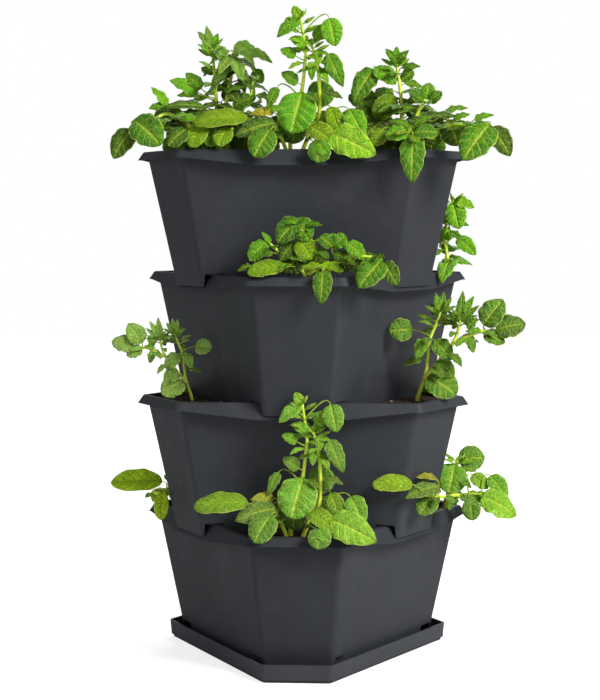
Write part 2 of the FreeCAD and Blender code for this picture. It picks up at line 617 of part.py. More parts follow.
def smooth(points, steps):
    """More points along a stem, on a rounded line through the given ones."""
    line = []
    for k in range(len(points) - 1):
        before, start = points[max(k - 1, 0)], points[k]
        end, after = points[k + 1], points[min(k + 2, len(points) - 1)]
        for step in range(steps):
            t = step / steps
            line.append((start * 2 + (end - before) * t
                         + (before * 2 - start * 5 + end * 4 - after) * t ** 2
                         + (start * 3 - before - end * 3 + after) * t ** 3) * 0.5)
    return line + [points[-1]]


def stem(spot, points):
    """One stem as a rod that thins towards its top."""
    line = smooth([in_place(spot, point) for point in points], ROD_STEPS)
    rings = []
    for k, point in enumerate(line):
        along = line[min(k + 1, len(line) - 1)] - line[max(k - 1, 0)]
        share = k / (len(line) - 1)
        radius = STEM_FOOT_RADIUS + (STEM_TOP_RADIUS - STEM_FOOT_RADIUS) * share
        rings.append(Part.Wire(Part.makeCircle(radius * min(spot[5], 1.0), point, along)))
    return Part.makeLoft(rings, True, True)


def stalk_start(lines, base):
    """Where a leaf's stalk leaves the stems: near, and a little below its blade."""
    def cost(point):
        gap = base - point
        level = math.hypot(gap.x, gap.z)
        return gap.Length + 2 * max(0.0, STALK_DROP * level - gap.y)
    above_soil = [point for line in lines for point in line if point.y > LOWEST_STALK]
    return min(above_soil, key=cost)


def shoot_rows(lines, shoots, rear):
    """Table rows for the leaves that spiral up the stems."""
    rows = []
    for stem, low, high, count, length, pitch in shoots:
        line = lines[stem]
        for k in range(count):
            share = k / (count - 1)
            point = line[round((low + (high - low) * share) * (len(line) - 1))]
            size = length * (1 - SHOOT_TAPER * share)
            turn = math.radians(SPIRAL * k + SHOOT_START * stem)
            rise = math.radians(pitch + SHOOT_RISE * share)
            right, out = math.cos(turn), math.sin(turn)
            out = out if out > 0 else out * rear
            away = V(right * math.cos(rise), math.sin(rise), out * math.cos(rise))
            base = point + away * (STALK_SHARE * size)
            tip = base + away * size
            if tip.y > LOWEST_TIP:
                width = size * (YOUNG_WIDTH if pitch > 0 else SHOOT_WIDTH)
                rows.append((tuple(base), tuple(tip), width, SHOOT_FACING,
                             math.atan2(right, out + TO_LIGHT)))
    return rows


def leaf_frame(lines, row):
    """A leaf's stalk start, blade start, bend, tip, sideways and upward directions."""
    base, tip = V(*row[0]), V(*row[1])
    facing, turn = math.radians(row[3]), row[4] if len(row) > 4 else 0.0
    length = math.dist(row[0], row[1])
    along = (tip - base) * (1 / length)
    sky = V(math.sin(turn) * math.sin(facing), math.cos(facing), math.cos(turn) * math.sin(facing))
    normal = sky - along * sky.dot(along)
    normal = normal * (1 / math.dist(tuple(normal), (0, 0, 0)))
    bend = (base + tip) * 0.5 + normal * LEAF_BOW * length
    return stalk_start(lines, base), base, bend, tip, along.cross(normal), normal


def felt_points(spot, lines, row):
    """Points all over a leaf and its stalk, in the tower's frame."""
    start, base, bend, tip, side, _ = leaf_frame(lines, row)
    points = [start + (base - start) * share for share in FELT_STALK]
    for share, width in FELT_BLADE:
        centre = curve(base, bend, tip, share)
        points += [centre + side * (row[2] / 2 * width * across) for across in (-1, 0, 1)]
    return [tuple(in_place(spot, point)) for point in points]


def outside_by(point, tier):
    """How far a point is outside the pot of a tier, or the way that the pot is lifted off."""
    height = point[2] - POT_STANDS_AT - PITCH * tier
    if height < 0 or tier >= TIERS:
        return FAR
    reach = APRON_REACH if height > APRON_FROM else 0.0
    share = min(height / POT_HEIGHT, 1.0)
    gaps = []
    for k in range(6):
        base, rim = ((BASE_SHORT, RIM_SHORT), (BASE_LONG, RIM_LONG))[k % 2]
        angle = math.radians(-90 + 60 * k + 180 * (tier % 2))
        distance = point[0] * math.cos(angle) + point[1] * math.sin(angle)
        gaps.append(distance - base - (rim - base) * share - reach)
    return max(gaps)


def crowd_entry(name, points):
    """A plant's name with some of its points and a ball round them."""
    centre = tuple(sum(axis) / len(points) for axis in zip(*points))
    return name, centre, max(math.dist(centre, point) for point in points), points


def clear_of(entry, crowd):
    """Whether some points keep their distance from every other plant."""
    name, centre, radius, points = entry
    for other, other_centre, other_radius, other_points in crowd:
        if other == name or math.dist(centre, other_centre) > radius + other_radius + PLANT_GAP:
            continue
        for point in points:
            if any(math.dist(point, other_point) < PLANT_GAP for other_point in other_points):
                return False
    return True


def grow_leaves():
    """The leaf rows of every plant, without those that would meet a neighbour or a pot."""
    crowd, lines, rows = [], {}, {}
    for spot in PLANTS:
        stems, leaves = KINDS[spot[1]][:2]
        lines[spot[0]] = [smooth([V(*point) for point in line], LINE_STEPS) for line in stems]
        rows[spot[0]] = list(leaves)
        for line in lines[spot[0]]:
            crowd.append(crowd_entry(spot[0], [tuple(in_place(spot, point)) for point in line]))
        for row in leaves:
            crowd.append(crowd_entry(spot[0], felt_points(spot, lines[spot[0]], row)))
    for spot in PLANTS:
        inner, shoots = KINDS[spot[1]][2:]
        upper = round((spot[2][2] - POT_STANDS_AT) / PITCH)
        for row in list(inner) + shoot_rows(lines[spot[0]], shoots, spot[7]):
            entry = crowd_entry(spot[0], felt_points(spot, lines[spot[0]], row))
            if min(outside_by(point, upper) for point in entry[3]) < WALL_GAP:
                continue
            if clear_of(entry, crowd):
                rows[spot[0]].append(row)
                crowd.append(entry)
    return lines, rows


def blade_ring(centre, side, normal, half_width, fold):
    """Four points round the blade: one edge, the top, the other edge, the underside."""
    half = LEAF_THICKNESS / 2
    return [centre - side * half_width + normal * fold, centre + normal * half,
            centre + side * half_width + normal * fold, centre - normal * half]


def stalk_rings(start, base, heading, normal, most):
    """Rings along the bent stalk, from the stem to the start of the blade."""
    pull = base - heading * ((base - start).Length / 2)
    steps = most if (base - start).Length > SHORTEST_STALK else 0
    rings = []
    for step in range(steps, -1, -1):
        share = step / steps if steps else 1.0
        along = heading
        if steps:
            along = ((pull - start) * (1 - share) + (base - pull) * share).normalize()
        normal = (normal - along * normal.dot(along)).normalize()
        centre = curve(start, pull, base, share)
        rings.insert(0, blade_ring(centre, along.cross(normal), normal, STALK_RADIUS, 0.0))
    return rings


def leaf(spot, lines, row):
    """One leaf with its stalk, as a closed thin solid."""
    start, base, bend, tip, side, normal = leaf_frame(lines, row)
    small = len(row) > 4
    rings = stalk_rings(start, base, (bend - base).normalize(), normal, 1 if small else STALK_STEPS)
    for share, width in SMALL_OUTLINE if small else LEAF_OUTLINE:
        centre = curve(base, bend, tip, share)
        rings.append(blade_ring(centre, side, normal, row[2] / 2 * width, row[2] * width * LEAF_FOLD))
    points = [in_place(spot, point) for ring in rings for point in ring]
    points.append(in_place(spot, tip))
    last = len(points) - 1
    facets = [(0, 3, 2), (0, 2, 1)]
    for k in range(len(rings) - 1):
        for corner in range(4):
            a, b = 4 * k + corner, 4 * k + (corner + 1) % 4
            facets += [(a, b, b + 4), (a, b + 4, a + 4)]
    for corner in range(4):
        facets.append((last - 4 + corner, last - 4 + (corner + 1) % 4, last))
    shape = Part.Shape()
    shape.makeShapeFromMesh((points, facets), SEWING_GAP)
    return Part.Solid(shape.Shells[0])


def plant(spot, lines, rows):
    """The stems and the leaves of one plant."""
    return (Part.makeCompound([stem(spot, points) for points in KINDS[spot[1]][0]]),
            Part.makeCompound([leaf(spot, lines, row) for row in rows]))


def placed(shape, tier):
    """A pot's own shape, turned and raised to its place in the stack."""
    copy = shape.copy()
    copy.rotate(V(0, 0, 0), V(0, 0, 1), 180 * (tier % 2))
    copy.translate(V(0, 0, POT_STANDS_AT + PITCH * tier))
    return copy


def save(name, shape):
    """Write one node and report what it holds."""
    shape.exportStep("parts/" + name + ".step")
    print(name, "solids", len(shape.Solids), "valid", shape.isValid(),
          "volume", round(shape.Volume / 1000, 1), "cm3")


def main():
    os.makedirs("parts", exist_ok=True)
    save("tray", tray())
    one_pot = pot()
    for tier in range(TIERS):
        save("pot_%d" % (tier + 1), placed(one_pot, tier))
        save("potting_mix_%d" % (tier + 1), placed(potting_mix(tier == TIERS - 1), tier))
    lines, rows = grow_leaves()
    for spot in PLANTS:
        stems, leaves = plant(spot, lines[spot[0]], rows[spot[0]])
        save(spot[0] + "_stems", stems)
        save(spot[0] + "_leaves", leaves)


main()
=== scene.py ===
import itertools
import math
import random

import bpy
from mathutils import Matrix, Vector, noise


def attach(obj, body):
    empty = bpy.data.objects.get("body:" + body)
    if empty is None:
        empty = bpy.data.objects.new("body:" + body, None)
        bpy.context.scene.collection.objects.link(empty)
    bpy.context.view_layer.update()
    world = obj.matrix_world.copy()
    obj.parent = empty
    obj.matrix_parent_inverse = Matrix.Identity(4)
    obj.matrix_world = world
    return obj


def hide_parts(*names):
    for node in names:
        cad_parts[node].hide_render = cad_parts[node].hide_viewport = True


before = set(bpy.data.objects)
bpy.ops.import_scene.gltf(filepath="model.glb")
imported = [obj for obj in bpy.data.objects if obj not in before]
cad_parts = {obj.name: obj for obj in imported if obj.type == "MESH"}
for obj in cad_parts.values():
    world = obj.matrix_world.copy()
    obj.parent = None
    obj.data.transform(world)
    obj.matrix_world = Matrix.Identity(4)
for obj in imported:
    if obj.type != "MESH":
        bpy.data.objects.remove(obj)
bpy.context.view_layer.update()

MM = 0.001
SEED = 7

# Camera, fitted to the photograph's rims, bases and tray.
FOCAL_PIXELS = 1812.0
HORIZON_ABOVE_CENTRE = 130.0
IMAGE_HEIGHT = 700
CAMERA_AT = (0.1133, -2.199, 0.5192)
CAMERA_TURN = 0.054
SENSOR = 36.0

# The planter's dimensions that the soil follows, in millimetres, as in the part.
TIERS = 4
RIM_SHORT, RIM_LONG = 186.5, 137.5
BASE_SHORT, BASE_LONG = 152.5, 110.0
POT_HEIGHT, PITCH, POT_STANDS_AT = 158.5, 144.5, 8.0
WALL, FAR = 2.4, 1000.0
SOIL_BELOW_RIM, TOP_SOIL_BELOW_RIM = 6.0, 13.0

# The surfaces of the mixes and the crumbs and pale grains on them.
MIX_GAP, POCKET_GAP = 0.6, 1.8
TOP_RINGS, TOP_SECTORS = 30, 120
POCKET_ROWS, POCKET_COLUMNS = 26, 34
TOP_SOIL_SEED = 5.0
TOP_CRUMBS, POCKET_CRUMBS = 900, 170
CRUMB_SIZES = (1.2, 3.6)
GRAIN_EVERY, GRAIN_SIZE = 13, 0.8
LUMP_EDGE = 1.2

# How a leaf is drawn.
STALK_RADIUS = 0.9
LEAF_THICKNESS = 0.7
LEAF_BOW = 0.16
STALK_DROP = 0.3
LOWEST_STALK = 3.0
STALK_STEPS = 7
BLADE_STEPS, BLADE_HALVES = 20, 6
SIDE_VEINS, VEIN_SLANT = 6.0, 0.24
FOLD, FOLD_EASES, QUILT = 0.34, 0.24, 0.050
WAVES, WAVE_HEIGHT = 2.6, 0.13
CURL_FROM, SCALLOP = 0.6, 0.05
MIDRIB_SHARES = (0.0, 0.2, 0.45, 0.7)
SHORTEST_STEP, STALK_SIDES = 0.2, 6
STEM_FOOT_RADIUS, STEM_TOP_RADIUS = 3.0, 1.7
STEM_SIDES, STEM_JOINT = 12, 6
LEAF_VARIES, STEM_VARIES = 0.16, 0.04
# Broad young leaves are smoother, and keep more of their own tint; among them are the leaves with the
# painted sunlight tint.
SOFT_TINTS, SOFT_KEEPS, SOFT_QUILTED = ("lime", "sunny"), 0.7, 0.12

# The leaves that spiral up a stem.
SPIRAL, SHOOT_START = 137.5, 60.0
SHOOT_TAPER, SHOOT_RISE = 0.30, 25.0
STALK_SHARE, SHOOT_WIDTH, YOUNG_WIDTH, SHOOT_FACING = 0.30, 0.48, 0.30, 62.0
TO_LIGHT = 0.7
LOWEST_TIP = 6.0
LINE_STEPS = 4
# Where a leaf is felt for its neighbours: shares of the stalk, and shares of
# the blade's length with its width there.
FELT_STALK = (0.35, 0.70)
FELT_BLADE = ((0.0, 0.35), (0.22, 0.95), (0.45, 1.0), (0.70, 0.75), (0.88, 0.4), (1.0, 0.0))
PLANT_GAP, WALL_GAP = 6.0, 4.5
APRON_FROM, APRON_REACH = 138.0, 15.5

# Leaf colours as linear RGB.
TINTS = {
    "deep": (0.036, 0.142, 0.004),
    "mid": (0.094, 0.352, 0.006),
    "fresh": (0.225, 0.680, 0.010),
    "light": (0.440, 0.860, 0.025),
    "pale": (0.330, 0.600, 0.140),
    "lime": (0.255, 0.425, 0.004),
    # A painted light: a brighter tint that stands in for sunlight on leaves in the tower's shade.
    "sunny": (0.680, 0.880, 0.015),
    "gold": (0.780, 0.520, 0.025),
}
STALK_COLOUR = (0.620, 0.760, 0.045)
STEM_COLOUR = (0.860, 0.920, 0.045)
# Plants whose leaves differ from their tints: by how much they are paler, and how bright they are.
# The brightness is painted light and shade: it lifts plants that lie in the tower's shade and darkens
# those in the key lamp's light.
PALE_COLOUR = (0.680, 0.800, 0.340)
PALENESS_AND_PAINTED_LIGHT = {
    "top_middle": (0.00, 0.96),
    "top_right": (0.00, 0.82),
    "third_front": (0.00, 0.86),
    "second_left": (0.55, 1.50),
    "second_right": (0.18, 0.86),
    "first_front": (0.26, 0.98),
    "first_right": (0.22, 1.00),
    "first_left": (0.00, 1.12),
}
# The leaf skin's other colours, the share of light that it lets through, and how
# dense the net between its veins is.
BLOTCH_COLOUR, MOTTLE_SHADE = (0.40, 0.50, 0.04), (0.52, 0.62, 0.40)
# A painted light that pales the skin towards the midrib, and a painted shade that darkens it between
# the veins.
MIDRIB_PAINTED_LIGHT, QUILT_PAINTED_SHADE = (0.44, 0.86, 0.02), (0.31, 0.50, 0.22)
# The rim colour is partly the leaf's own paler margin and partly a painted highlight.
VEIN_COLOUR, PALE_MARGIN_AND_HIGHLIGHT = (0.92, 1.0, 0.15), (0.70, 0.86, 0.12)
UNDER_COLOUR, GLOW_COLOUR = (0.45, 0.62, 0.19), (0.52, 0.78, 0.03)
GLOW_SHARE, LEAF_NET = 0.22, 330.0

# The other materials' colours: a pair is the darker and the lighter shade.
STEM_BLOTCH, STEM_STREAK = (0.32, 0.54, 0.03), (0.90, 0.95, 0.16)
POT_COLOURS = (0.024, 0.026, 0.032), (0.030, 0.034, 0.041)
TRAY_COLOURS = (0.040, 0.043, 0.050), (0.048, 0.052, 0.061)
DUST_COLOUR = (0.16, 0.155, 0.15)
PEAT_COLOURS = (0.015, 0.010, 0.008), (0.066, 0.038, 0.022)
FIBRE_COLOUR = (0.13, 0.085, 0.05)
GRAIN_COLOURS = (0.30, 0.26, 0.21), (0.66, 0.63, 0.57)

# The studio: a cool sky, a floor whose glow rises from one distance to another,
# and three lamps, each with its name, place, size, power and colour.
SKY_COLOUR, SKY_STRENGTH = (0.96, 0.98, 1.0), 0.25
FLOOR_REACH, FLOOR_AT = 6.0, -0.0004
FLOOR_COLOURS = (0.60, 0.60, 0.60), (0.62, 0.62, 0.62)
FLOOR_FADE = (0.8, 3.0, 0.74, 1.0)
LAMPS_AIM = (0.0, 0.0, 0.40)
LAMPS = (
    ("key", (1.8, -1.65, 1.8), 1.0, 98.0, (1.0, 0.99, 0.96)),
    ("fill", (-2.3, -1.5, 1.1), 1.8, 13.0, (1.0, 1.0, 1.0)),
    ("rear", (0.2, 2.0, 2.2), 1.2, 30.0, (1.0, 1.0, 1.0)),
)

# The plant tables give millimetres as (right, up, outward) from the plant's
# foot at the soil. A leaf is (start of blade, tip, width, facing, tint), and
# facing tilts its upper side from the sky, at 0, to the viewer outside, at 90.
TALL_STEMS = (
    ((0, -20, 0), (1, 16, 1), (7, 38, 2), (14, 64, 4), (18, 95, 7), (19, 111, 8), (14, 147, 13)),
    ((8, -20, 3), (22, 16, 6), (33, 36, 8), (34, 76, 9), (31, 99, 9), (26, 116, 9)),
    ((2, -20, 2), (-8, 10, 12), (-14, 24, 18)),
)
TALL_LEAVES = (
    ((12, 147, 14), (-12, 127, 20), 17, 50, "fresh"),
    ((13, 147, 14), (6, 161, 13), 12, 60, "light"),
    ((46, 147, 15), (53, 117, 21), 24, 62, "fresh"),
    ((29, 124, 12), (44, 141, 15), 16, 60, "fresh"),
    ((20, 117, 11), (2, 126, 15), 14, 60, "fresh"),
    ((8, 105, 11), (-9, 113, 15), 13, 55, "fresh"),
    ((33, 111, 12), (34, 95, 16), 10, 80, "light"),
    ((44, 107, 12), (61, 71, 18), 20, 60, "mid"),
    ((35, 89, 11), (46, 86, 14), 9, 50, "mid"),
    ((26, 94, 10), (26, 78, 14), 9, 80, "fresh"),
    ((10, 75, 9), (-8, 87, 13), 16, 60, "mid"),
    ((-13, 70, 12), (-24, 45, 18), 13, 50, "mid"),
    ((-18, 42, 12), (-44, 41, 20), 14, 40, "gold"),
    ((-15, 31, 20), (-60, 19, 34), 28, 52, "deep"),
    ((-20, 26, 38), (-37, -2, 52), 32, 60, "mid"),
    ((15, 64, 12), (3, 21, 30), 45, 65, "fresh"),
    ((20, 61, 0), (51, 60, -3), 30, 70, "mid"),
    ((-46, 37, 20), (-107, 32, 28), 26, 45, "lime"),
    ((46, 48, 12), (57, 22, 22), 20, 60, "lime"),
    ((68, 44, 14), (84, 16, 30), 24, 55, "fresh"),
    ((47, 22, 36), (98, 0, 50), 37, 68, "light"),
    ((25, 29, 30), (50, 14, 42), 23, 58, "lime"),
    ((37, 13, 46), (33, -8, 54), 26, 75, "mid"),
    ((33, 12, 46), (47, 2, 52), 16, 60, "fresh"),
)
TALL_INNER = (
    ((-4, 32, -8), (-18, 6, -2), 34, 70, "deep"),
    ((30, 38, -8), (46, 12, -2), 32, 70, "deep"),
    ((6, 34, 4), (4, 6, 12), 30, 70, "deep"),
)

BUSHY_STEMS = (
    ((0, -24, 0), (0, 38, 1), (-2, 70, 2), (-7, 101, 2)),
    ((3, -24, 3), (15, 35, 7), (27, 58, 8)),
    ((4, -24, 6), (20, 14, 12), (50, 27, 22), (78, 28, 32)),
    ((-3, -24, 2), (-15, 20, 0), (-33, 46, -4)),
    ((1, -24, 8), (3, 12, 30), (9, 20, 50)),
)
BUSHY_LEAVES = (
    ((-33, 93, 6), (-56, 53, 14), 27, 60, "mid"),
    ((-31, 95, 5), (-7, 75, 13), 24, 55, "fresh"),
    ((-7, 101, 1), (-19, 117, 5), 11, 55, "mid"),
    ((-7, 102, 1), (-6, 120, 2), 10, 60, "fresh"),
    ((-6, 101, 2), (8, 115, 5), 11, 55, "mid"),
    ((-31, 37, 8), (-7, 62, 5), 26, 80, "lime"),
    ((-43, 52, -8), (-62, 64, -6), 20, 60, "deep"),
    ((-39, 47, -4), (-59, 36, 4), 20, 60, "deep"),
    ((-34, 46, -10), (-37, 71, -13), 18, 75, "deep"),
    ((-22, 22, 40), (-32, 3, 49), 20, 62, "lime"),
    ((6, 17, 55), (-19, 14, 58), 23, 58, "fresh"),
    ((8, 26, 34), (-16, 32, 38), 11, 40, "mid"),
    ((14, 27, 32), (34, 37, 35), 11, 40, "fresh"),
    ((14, 17, 54), (41, 17, 58), 25, 50, "mid"),
    ((12, 14, 58), (11, -40, 63), 29, 88, "mid"),
    ((25, 56, 8), (8, 69, 12), 18, 60, "mid"),
    ((28, 58, 6), (32, 77, 7), 18, 70, "fresh"),
    ((32, 55, 9), (46, 66, 13), 16, 55, "mid"),
    ((48, 42, 14), (75, 47, 22), 16, 30, "fresh"),
    ((20, 33, 20), (64, 37, 30), 18, 30, "deep"),
    ((58, 33, 30), (77, 39, 35), 13, 40, "fresh"),
    ((99, 27, 40), (68, -14, 56), 40, 65, "mid"),
    ((82, 33, 36), (104, 38, 39), 12, 40, "fresh"),
    ((101, 24, 34), (122, -9, 44), 27, 55, "deep"),
    ((-12, 60, -12), (-30, 72, -20), 20, 60, "deep"),
    ((6, 40, -10), (24, 51, -20), 20, 60, "deep"),
    ((-8, 20, -8), (-30, 13, -18), 22, 50, "deep"),
    ((14, 32, -6), (40, 23, -16), 22, 50, "deep"),
    ((0, 80, -6), (14, 92, -14), 14, 60, "mid"),
)
BUSHY_INNER = (
    ((-24, 32, 6), (-50, 6, 14), 36, 70, "deep"),
    ((4, 34, -2), (-10, 4, 6), 34, 70, "deep"),
    ((28, 36, 0), (40, 6, 8), 36, 70, "deep"),
    ((54, 34, 6), (64, 4, 16), 34, 70, "deep"),
    ((-18, 52, -8), (-44, 32, -4), 32, 65, "deep"),
    ((-46, 20, -6), (-50, -9, 0), 34, 75, "deep"),
    ((-20, 20, -14), (-20, -9, -8), 36, 75, "mid"),
    ((8, 20, -22), (10, -9, -16), 36, 75, "deep"),
    ((34, 20, -36), (36, -9, -30), 34, 75, "mid"),
)

SPREADING_STEMS = (
    ((0, -24, 0), (-2, 35, 0), (-3, 65, 0), (-7, 118, 2)),
    ((4, -24, 2), (20, 35, 8), (37, 58, 12), (42, 92, 6)),
    ((-4, -24, 2), (-25, 20, 12), (-58, 42, 14), (-80, 26, 28)),
    ((2, -24, 6), (6, 14, 26), (20, 24, 40)),
    ((3, -24, 0), (8, 50, -3), (14, 84, -2), (20, 120, 6)),
)
SPREADING_LEAVES = (
    ((-8, 118, 1), (-24, 138, 5), 12, 55, "pale"),
    ((-8, 119, 2), (-14, 145, 3), 11, 60, "pale"),
    ((-6, 118, 2), (0, 136, 5), 11, 60, "fresh"),
    ((-7, 112, 2), (-24, 123, 7), 10, 50, "fresh"),
    ((0, 121, 6), (10, 98, 12), 15, 70, "pale"),
    ((20, 122, 8), (48, 107, 14), 19, 60, "pale"),
    ((38, 116, 8), (64, 100, 14), 13, 55, "pale"),
    ((8, 88, -4), (30, 101, 0), 16, 55, "deep"),
    ((42, 93, 6), (52, 77, 11), 15, 70, "mid"),
    ((10, 70, 4), (54, 73, 12), 15, 35, "pale"),
    ((-24, 68, 4), (-56, 81, 10), 19, 55, "fresh"),
    ((-20, 72, 1), (-38, 90, 4), 17, 65, "mid"),
    ((-22, 64, 7), (-47, 63, 13), 15, 50, "mid"),
    ((-59, 53, 9), (-77, 73, 14), 14, 50, "fresh"),
    ((-61, 50, 13), (-79, 48, 18), 13, 45, "mid"),
    ((-16, 50, 11), (-64, 48, 22), 20, 40, "deep"),
    ((18, 50, 9), (45, 61, 14), 21, 55, "mid"),
    ((-12, 28, 38), (-28, 2, 47), 24, 65, "lime"),
    ((-24, 35, 24), (-53, 37, 30), 14, 40, "fresh"),
    ((-97, 23, 34), (-116, -11, 44), 29, 60, "deep"),
    ((-92, 33, 38), (-60, 4, 55), 38, 65, "mid"),
    ((-34, 22, 40), (-53, 3, 48), 24, 62, "deep"),
    ((4, 60, -14), (22, 71, -28), 20, 60, "deep"),
    ((-14, 40, -10), (-38, 33, -26), 22, 55, "deep"),
    ((14, 32, -8), (44, 27, -20), 24, 50, "deep"),
    ((-6, 90, -8), (-22, 98, -18), 14, 60, "mid"),
    ((14, 25, 36), (5, 3, 50), 23, 62, "lime"),
    ((6, 24, 30), (-11, 4, 40), 24, 62, "mid"),
)
SPREADING_INNER = (
    ((-30, 30, -2), (-58, 8, 6), 36, 70, "deep"),
    ((-6, 36, 2), (-22, 4, 10), 34, 70, "deep"),
    ((16, 38, -4), (8, 6, 4), 34, 70, "deep"),
    ((34, 42, 0), (52, 10, 8), 36, 70, "deep"),
    ((-44, 46, -10), (-78, 30, -4), 34, 65, "deep"),
    ((-52, 20, -38), (-54, -9, -32), 34, 75, "mid"),
    ((-26, 20, -20), (-26, -9, -14), 36, 75, "deep"),
    ((2, 20, -12), (2, -9, -6), 36, 75, "mid"),
    ((30, 20, -8), (32, -9, -2), 36, 75, "deep"),
)

POCKET_STEMS = (
    ((0, -14, 0), (2, 4, 0), (11, 32, 0), (15, 68, 2), (22, 87, 2), (28, 103, 2)),
    ((8, 24, 1), (28, 48, 4), (43, 68, 4), (49, 84, 4), (51, 96, 4)),
    ((44, 66, 4), (60, 75, 6), (76, 81, 8), (92, 80, 9)),
)
POCKET_LEAVES = (
    ((27, 101, 2), (22, 126, 5), 10, 60, "fresh"),
    ((28, 103, 2), (32, 127, 4), 10, 60, "mid"),
    ((29, 101, 3), (41, 120, 6), 10, 55, "fresh"),
    ((50, 94, 4), (54, 128, 5), 12, 65, "mid"),
    ((52, 96, 4), (67, 122, 7), 11, 60, "fresh"),
    ((52, 92, 5), (73, 111, 8), 10, 55, "mid"),
    ((-5, 82, 5), (-32, 81, 12), 27, 70, "mid"),
    ((8, 71, 6), (0, 48, 12), 15, 65, "fresh"),
    ((21, 70, 8), (41, 48, 14), 23, 65, "mid"),
    ((25, 46, 7), (43, 28, 12), 21, 65, "mid"),
    ((14, 27, 5), (46, 8, 20), 38, 60, "mid"),
    ((60, 83, 7), (70, 97, 9), 11, 55, "fresh"),
    ((61, 74, 9), (66, 56, 12), 12, 65, "mid"),
    ((78, 88, 9), (100, 118, 10), 31, 60, "mid"),
    ((92, 82, 11), (126, 90, 12), 29, 60, "deep"),
    ((78, 78, 11), (102, 68, 14), 22, 55, "mid"),
)

TRAILING_STEMS = (
    ((-2, -16, -8), (2, 8, -4), (12, 40, 4), (16, 56, 4)),
    ((0, -16, -6), (3, 12, 2), (10, 20, 22), (15, 24, 60), (8, 29, 95), (-10, 31, 120),
     (-30, 38, 148)),
    ((4, 8, 2), (24, 18, 14), (44, 20, 26)),
)
TRAILING_LEAVES = (
    ((13, 54, 8), (5, 20, 22), 38, 62, "fresh"),
    ((18, 58, -6), (50, 60, -10), 31, 70, "mid"),
    ((34, 41, 5), (53, 25, 12), 20, 55, "light"),
    ((56, 40, 7), (76, 14, 16), 24, 55, "fresh"),
    ((44, 18, 30), (86, -5, 32), 35, 50, "light"),
    ((30, 22, 16), (45, 10, 24), 13, 55, "lime"),
    ((30, 16, 42), (33, -8, 48), 23, 70, "mid"),
    ((-9, 46, 18), (-15, 65, 20), 10, 60, "fresh"),
    ((-12, 52, 118), (-36, 57, 146), 12, 50, "gold"),
    ((-9, 42, 118), (-49, 36, 168), 21, 55, "deep"),
    ((-17, 30, 126), (-32, 14, 148), 25, 65, "mid"),
    ((-40, 51, 161), (-86, 52, 176), 22, 50, "lime"),
)

EDGE_STEMS = (
    ((0, -14, 0), (2, 16, -4), (5, 34, -9), (6, 46, -14)),
    ((2, -16, 2), (0, 14, 8), (-14, 24, 34), (-17, 25, 62), (4, 27, 92)),
)
EDGE_LEAVES = (
    # The three leaves tinted with painted sunlight lie in the tower's shade; their tint is a painted
    # light.
    ((-13, 31, 8), (-77, 29, 10), 30, 60, "sunny"),
    ((-11, 23, 16), (-24, 8, 21), 15, 60, "sunny"),
    ((-1, 31, 96), (-3, -2, 100), 18, 70, "sunny"),
    ((6, 42, -16), (8, 58, -30), 20, 50, "mid"),
    ((4, 34, -14), (2, 25, -44), 24, 30, "fresh"),
    ((2, 26, -10), (-10, 34, -38), 22, 40, "mid"),
)

CLIMBING_STEMS = (
    ((0, -14, 0), (1, 21, 1), (-3, 50, 2), (4, 74, 3), (8, 90, 3)),
    ((-6, -16, -9), (4, 14, -2), (6, 20, 22)),
)
CLIMBING_LEAVES = (
    ((8, 89, 5), (15, 57, 11), 27, 70, "fresh"),
    ((10, 92, 3), (34, 83, 7), 17, 45, "light"),
    ((5, 73, 5), (12, 89, 6), 10, 60, "fresh"),
    ((1, 43, 5), (3, 61, 8), 10, 60, "fresh"),
    ((14, 46, 4), (36, 25, 10), 20, 55, "fresh"),
    ((4, 20, 26), (-8, -8, 74), 23, 40, "fresh"),
    ((-6, 40, -8), (-20, 60, -38), 24, 50, "mid"),
    ((0, 30, -8), (10, 34, -42), 26, 30, "mid"),
    ((4, 62, -4), (-2, 84, -22), 20, 60, "fresh"),
    ((3, 18, -10), (30, 14, -28), 22, 40, "mid"),
)

FRINGE_STEMS = (
    ((0, -20, 0), (0, 10, 1), (-5, 34, 2), (-10, 52, 3), (-20, 63, 5)),
    ((-3, -20, 2), (-18, 10, 6), (-38, 26, 8), (-52, 38, 10)),
    ((3, -20, 4), (16, 10, 12), (38, 24, 20), (62, 24, 26)),
    ((0, -20, 6), (2, 8, 22), (6, 14, 34)),
)
FRINGE_LEAVES = (
    ((-57, 40, 11), (-75, 19, 16), 22, 60, "fresh"),
    ((-52, 40, 10), (-62, 52, 12), 7, 60, "fresh"),
    ((-20, 66, 6), (-44, 39, 13), 28, 62, "mid"),
    ((-23, 67, 5), (-8, 41, 12), 26, 62, "mid"),
    ((-25, 39, 8), (-41, 19, 14), 19, 60, "deep"),
    ((-19, 43, 10), (-4, 21, 16), 26, 70, "lime"),
    ((-35, 14, 24), (-76, 6, 36), 22, 62, "lime"),
    ((-72, 14, 18), (-88, 8, 24), 10, 50, "deep"),
    ((1, 17, 26), (-11, 5, 34), 13, 60, "lime"),
    ((14, 18, 28), (8, 4, 36), 10, 60, "light"),
    ((16, 18, 28), (28, 6, 36), 11, 60, "light"),
    ((18, 36, 14), (4, 47, 18), 17, 60, "mid"),
    ((19, 36, 14), (34, 47, 18), 18, 60, "fresh"),
    ((18, 38, 12), (19, 51, 13), 12, 65, "mid"),
    ((35, 40, 18), (55, 21, 25), 19, 55, "fresh"),
    ((20, 27, 16), (46, 16, 24), 17, 55, "deep"),
    ((9, 9, 43), (7, -28, 47), 22, 88, "mid"),
    ((73, 20, 30), (48, -10, 43), 31, 65, "mid"),
    ((75, 18, 27), (91, -8, 35), 21, 55, "deep"),
)
FRINGE_INNER = (
    ((-18, 26, 4), (-36, 6, 10), 28, 70, "deep"),
    ((4, 28, 2), (-8, 6, 8), 26, 70, "deep"),
    ((24, 28, 6), (34, 8, 12), 26, 70, "deep"),
    ((44, 26, 12), (50, 6, 20), 24, 70, "deep"),
)

